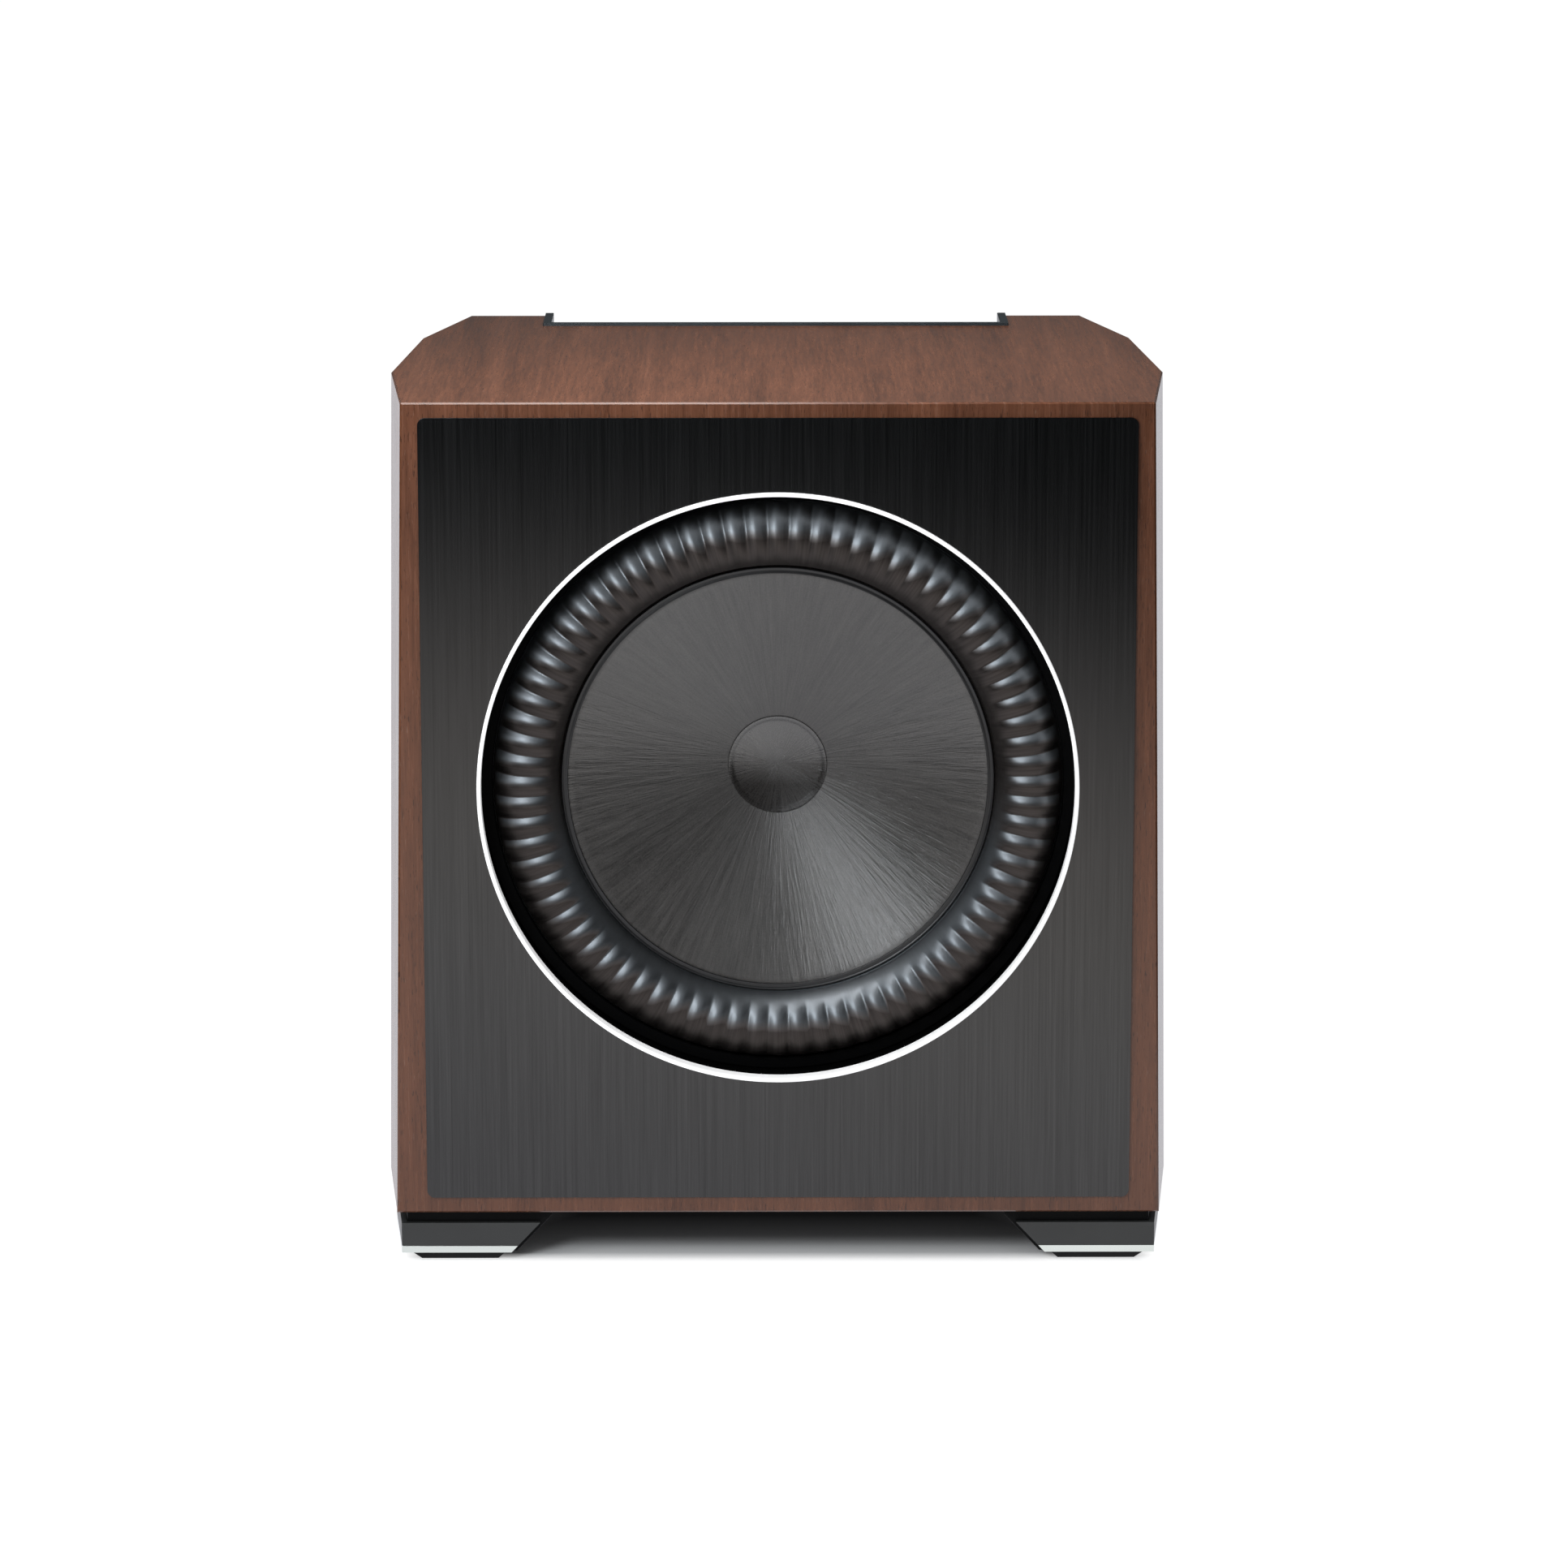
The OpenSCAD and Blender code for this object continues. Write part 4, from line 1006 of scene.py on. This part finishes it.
def flat_bar(x, z, width, height, turn, y, thick):
    """Corner points of a thin bar printed on a plate that faces +Y."""
    c, s = math.cos(turn), math.sin(turn)
    corners = []
    for dy in (0, thick):
        for u, v in ((-1, -1), (1, -1), (1, 1), (-1, 1)):
            px, pz = u * width / 2, v * height / 2
            corners.append((x + px * c - pz * s, y + dy, z + px * s + pz * c))
    return corners


BAR_FACES = [(0, 1, 2, 3), (4, 7, 6, 5), (0, 4, 5, 1), (1, 5, 6, 2), (2, 6, 7, 3), (3, 7, 4, 0)]


def bars_mesh(name, bars):
    vertices = []
    faces = []
    for bar in bars:
        start = len(vertices)
        vertices += bar
        faces += [tuple(start + i for i in face) for face in BAR_FACES]
    return add_mesh(name, vertices, faces, smooth=False)


def centre_of(node):
    low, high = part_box(node)
    return (low + high) / 2


def build_panel_print():
    """White dial marks round the knobs and thin frames round the groups of sockets."""
    bars = []
    thin = 0.05 * MM
    for node in ("knob_level", "knob_crossover", "knob_phase"):
        c = centre_of(node)
        for i in range(11):
            turn = math.radians(-240 + i * 30)
            length = 3.2 * MM if i in (0, 5, 10) else 2.0 * MM
            r = 12.2 * MM + length / 2
            bars.append(flat_bar(
                c.x - r * math.cos(turn), c.z + r * math.sin(turn),
                length, 0.55 * MM, math.pi - turn, PLATE_Y, thin,
            ))
    for node, grow in (("rca_jacks", 7), ("xlr_socket", 5), ("trigger_jack", 6), ("mains_inlet", 5),
                       ("power_switch_housing", 5)):
        low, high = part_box(node)
        g = grow * MM
        w = high.x - low.x + 2 * g
        h = high.z - low.z + 2 * g
        cx, cz = (low.x + high.x) / 2, (low.z + high.z) / 2
        for side in (-1, 1):
            bars.append(flat_bar(cx, cz + side * h / 2, w, 0.4 * MM, 0, PLATE_Y, thin))
            bars.append(flat_bar(cx + side * w / 2, cz, 0.4 * MM, h, 0, PLATE_Y, thin))
    piece = bars_mesh("panel_print", bars)
    place(piece, WHITE_PRINT, "cabinet")


def build_knob_pointers():
    """A white line in the groove of each knob, which turns with it."""
    for node, body in (("knob_level", "level_control"), ("knob_crossover", "crossover_control"),
                       ("knob_phase", "phase_control")):
        low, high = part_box(node)
        c = (low + high) / 2
        tall = (high.z - low.z) / 2
        groove = high.y - 0.6 * MM
        middle = c.z + tall - 0.5 * MM - (tall - 3 * MM) / 2
        bar = flat_bar(c.x, middle, 0.9 * MM, tall - 3.2 * MM, 0, groove, 0.25 * MM)
        piece = bars_mesh(node + "_pointer", [bar])
        place(piece, WHITE_PRINT, body)


def washer(name, x, z, r_in, r_out, y0, y1):
    """A flat ring whose axis is +Y, with a small chamfer at its front."""
    edge = min(0.2 * MM, (r_out - r_in) / 3)
    front = [(r_out, y1 - edge), (r_out - edge, y1), (r_in + edge, y1), (r_in, y1 - edge)]
    loop = [(r_in, y0), (r_out, y0)] + front
    segments = 48
    vertices = []
    faces = []
    count = len(loop)
    for i in range(segments):
        a = 2 * math.pi * i / segments
        for r, y in loop:
            vertices.append((x + r * math.cos(a), y, z + r * math.sin(a)))
    for i in range(segments):
        p = i * count
        q = (i + 1) % segments * count
        for j in range(count):
            k = (j + 1) % count
            faces.append((p + j, p + k, q + k, q + j))
    return add_mesh(name, vertices, faces)


def build_rca_rings():
    """Coloured insulating rings at the root of each phono collar."""
    low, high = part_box("rca_jacks")
    r_flange = 6.5 * MM
    xs = (low.x + r_flange, high.x - r_flange)
    zs = (low.z + r_flange, high.z - r_flange)
    seat = PLATE_Y + 2 * MM
    for name, x, finish in (("rca_rings_white", xs[0], WHITE_PART), ("rca_rings_red", xs[1], RED_PART)):
        rings = [washer("ring", x, z, 4.2 * MM, 6.2 * MM, seat, seat + 0.9 * MM) for z in zs]
        piece = merge(name, rings)
        sharpen(piece, 30)
        place(piece, finish, "cabinet")


# ---------------------------------------------------------------- studio

FOOT_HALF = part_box("foot_pads")[1].x
BODY_HALF = (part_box("rear_panel")[1].y - FACE_Y) / 2
CAMERA_PLACE = (-0.01525, FACE_Y - 3.6673, 1.1223)
# Camera angles in degrees, and its lens in millimetres on a sensor 36 mm high.
CAMERA_PITCH = 12.253
CAMERA_YAW = 0.294
CAMERA_LENS = 131.48
SENSOR_HEIGHT = 36


def softbox(name, place, target, width, height, power, colour=(1, 1, 1)):
    data = bpy.data.lights.new(name, "AREA")
    data.shape = "RECTANGLE"
    data.size = width
    data.size_y = height
    data.energy = power
    data.color = colour
    lamp = bpy.data.objects.new(name, data)
    lamp.location = place
    lamp.rotation_euler = (Vector(target) - Vector(place)).to_track_quat("-Z", "Y").to_euler()
    lamp.visible_camera = False
    bpy.context.scene.collection.objects.link(lamp)
    return lamp


# The mirrored strip of floor: its half width in front, where it starts to widen, and how fast.
STRIP_HALF = 0.68
STRIP_WIDENS_Y = -0.35
STRIP_SPREAD = 1.2


def build_floor():
    """White paper floor. The camera sees it bright and open, with a soft shadow under the cabinet that is
    partly rendered and partly painted shadow; polished surfaces mirror a glowing strip of it, a painted pool
    of light that fades out far in front."""
    size_x, near, far = 9.0, -4.6, 14.0
    vertices = [(-size_x, near, 0), (size_x, near, 0), (size_x, far, 0), (-size_x, far, 0)]
    floor = add_mesh("studio_floor", vertices, [(0, 1, 2, 3)], smooth=False)
    s = Shader("studio_floor")
    x, y, _ = s.split(s.coords)
    rays = s.new("ShaderNodeLightPath").outputs
    behind = s.math("MAXIMUM", s.math("SUBTRACT", y, STRIP_WIDENS_Y), 0.0)
    half = s.math("ADD", STRIP_HALF, s.math("MULTIPLY", behind, STRIP_SPREAD))
    beside = s.spread(s.math("SUBTRACT", half, s.math("ABSOLUTE", x)), -0.10, 0.06)
    fibre = s.noise(s.coords, 900, 3)
    paper = s.math("MULTIPLY", beside, s.spread(fibre, 0.3, 0.7, 0.83, 0.88))
    ax = s.math("SUBTRACT", s.math("ABSOLUTE", x), FOOT_HALF)
    ay = s.math("SUBTRACT", s.math("ABSOLUTE", y), BODY_HALF)
    off = s.math("MAXIMUM", ax, ay)
    # Painted shadow: as the camera sees it, the paper's colour darkens under the cabinet, on top of the
    # shadow the lamps cast.
    under = s.spread(off, -0.11, 0.0, 0.12, 1.0)
    camera_paper_painted_shadow = s.math("MULTIPLY", s.spread(fibre, 0.3, 0.7, 1.15, 1.2), under)
    shade = s.mix(rays["Is Camera Ray"], s.join(paper, paper, paper), s.join(camera_paper_painted_shadow, camera_paper_painted_shadow, camera_paper_painted_shadow))
    s.set(Base_Color=shade, Roughness=0.95, Specular_IOR_Level=0.0)

    slant = 0.85
    reach = 4.0
    away = s.math("ADD", s.math("SUBTRACT", FACE_Y, y), s.math("MULTIPLY", x, slant))
    # Painted pool of light: polished surfaces see the floor as a glowing strip, brightest a little in front
    # of the cabinet and fading to black far in front.
    reflected_glow_painted_light = s.ramp(
        s.math("DIVIDE", away, reach),
        (0.0, (0.80, 0.80, 0.84)), (0.17, (0.98, 0.97, 0.98)), (0.29, (1.0, 0.97, 0.94)),
        (0.38, (0.92, 0.88, 0.86)), (0.49, (0.70, 0.675, 0.665)), (0.60, (0.36, 0.35, 0.35)),
        (0.70, (0.10, 0.10, 0.105)), (0.80, (0.02, 0.022, 0.025)), (0.92, (0.0, 0.0, 0.0)),
    )
    mirrored = s.new("ShaderNodeEmission")
    s.link(s.mix(1.0, reflected_glow_painted_light, s.join(beside, beside, beside), "MULTIPLY"), mirrored.inputs["Color"])
    mirrored.inputs["Strength"].default_value = 1.33
    glow = s.new("ShaderNodeEmission")
    glow.inputs["Strength"].default_value = 1.16
    seen = s.math("MULTIPLY", rays["Is Camera Ray"], 0.85)
    open_floor = s.math("MULTIPLY", s.spread(off, -0.022, 0.006), seen)

    def choose(fac, first, second):
        both = s.new("ShaderNodeMixShader")
        for value, socket in zip((fac, first, second), both.inputs):
            s.link(value, socket)
        return both.outputs[0]

    surface = choose(open_floor, s.bsdf.outputs[0], glow.outputs[0])
    surface = choose(rays["Is Glossy Ray"], surface, mirrored.outputs[0])
    s.link(surface, s.tree.nodes["Material Output"].inputs["Surface"])
    floor.data.materials.append(s.material)


def build_world():
    """White backdrop to the camera, even dome for soft light, darker room in reflections."""
    world = bpy.data.worlds.new("studio")
    bpy.context.scene.world = world
    world.use_nodes = True
    tree = world.node_tree
    tree.nodes.clear()
    out = tree.nodes.new("ShaderNodeOutputWorld")
    path = tree.nodes.new("ShaderNodeLightPath")

    def background(strength, colour=(1, 1, 1)):
        node = tree.nodes.new("ShaderNodeBackground")
        node.inputs["Color"].default_value = (*colour, 1)
        node.inputs["Strength"].default_value = strength
        return node.outputs[0]

    def choose(fac, a, b):
        node = tree.nodes.new("ShaderNodeMixShader")
        tree.links.new(fac, node.inputs[0])
        tree.links.new(a, node.inputs[1])
        tree.links.new(b, node.inputs[2])
        return node.outputs[0]

    coords = tree.nodes.new("ShaderNodeTexCoord")
    axes = tree.nodes.new("ShaderNodeSeparateXYZ")
    tree.links.new(coords.outputs["Generated"], axes.inputs[0])
    behind = tree.nodes.new("ShaderNodeMapRange")
    behind.inputs["From Min"].default_value = -0.6
    behind.inputs["From Max"].default_value = 0.6
    tree.links.new(axes.outputs["Y"], behind.inputs["Value"])
    ahead = background(0.05, (0.9, 0.95, 1.0))
    mirrored = choose(behind.outputs[0], ahead, background(0.12, (0.95, 0.98, 1.0)))
    room = choose(path.outputs["Is Glossy Ray"], background(0.22), mirrored)
    seen = choose(path.outputs["Is Camera Ray"], room, background(1.05))
    tree.links.new(seen, out.inputs["Surface"])


def build_studio():
    build_floor()
    build_world()
    aim = (0, FACE_Y, AXIS_Z)
    cool = (0.93, 0.97, 1.0)
    softbox("box_left", (-0.62, -1.36, 0.95), aim, 0.50, 0.45, 8.4, cool)
    softbox("box_right", (0.34, -1.85, 1.64), aim, 1.10, 0.75, 2.2, cool)
    softbox("box_over", (-0.10, -0.23, 1.02), (-0.08, -0.25, 0.56), 0.8, 0.24, 5.6)
    side = softbox("box_side", (-1.15, -0.95, 0.9), aim, 0.5, 0.7, 4.4)
    side.visible_glossy = False
    data = bpy.data.cameras.new("camera")
    data.lens = CAMERA_LENS
    data.sensor_fit = "VERTICAL"
    data.sensor_height = SENSOR_HEIGHT
    data.clip_end = 40
    camera = bpy.data.objects.new("camera", data)
    camera.location = CAMERA_PLACE
    camera.rotation_euler = (math.radians(90 - CAMERA_PITCH), 0, math.radians(-CAMERA_YAW))
    bpy.context.scene.collection.objects.link(camera)
    bpy.context.scene.camera = camera
    view = bpy.context.scene.view_settings
    view.view_transform = "Standard"
    view.look = "None"


# ---------------------------------------------------------------- the whole object

dress_cad_nodes()
build_surround()
build_cone()
build_cone_rim()
build_dust_cap()
build_trim_ring()
build_flange_cover()
build_spider()
build_leads()
build_speaker_cable()
build_wadding()
build_panel_print()
build_knob_pointers()
build_rca_rings()
build_studio()
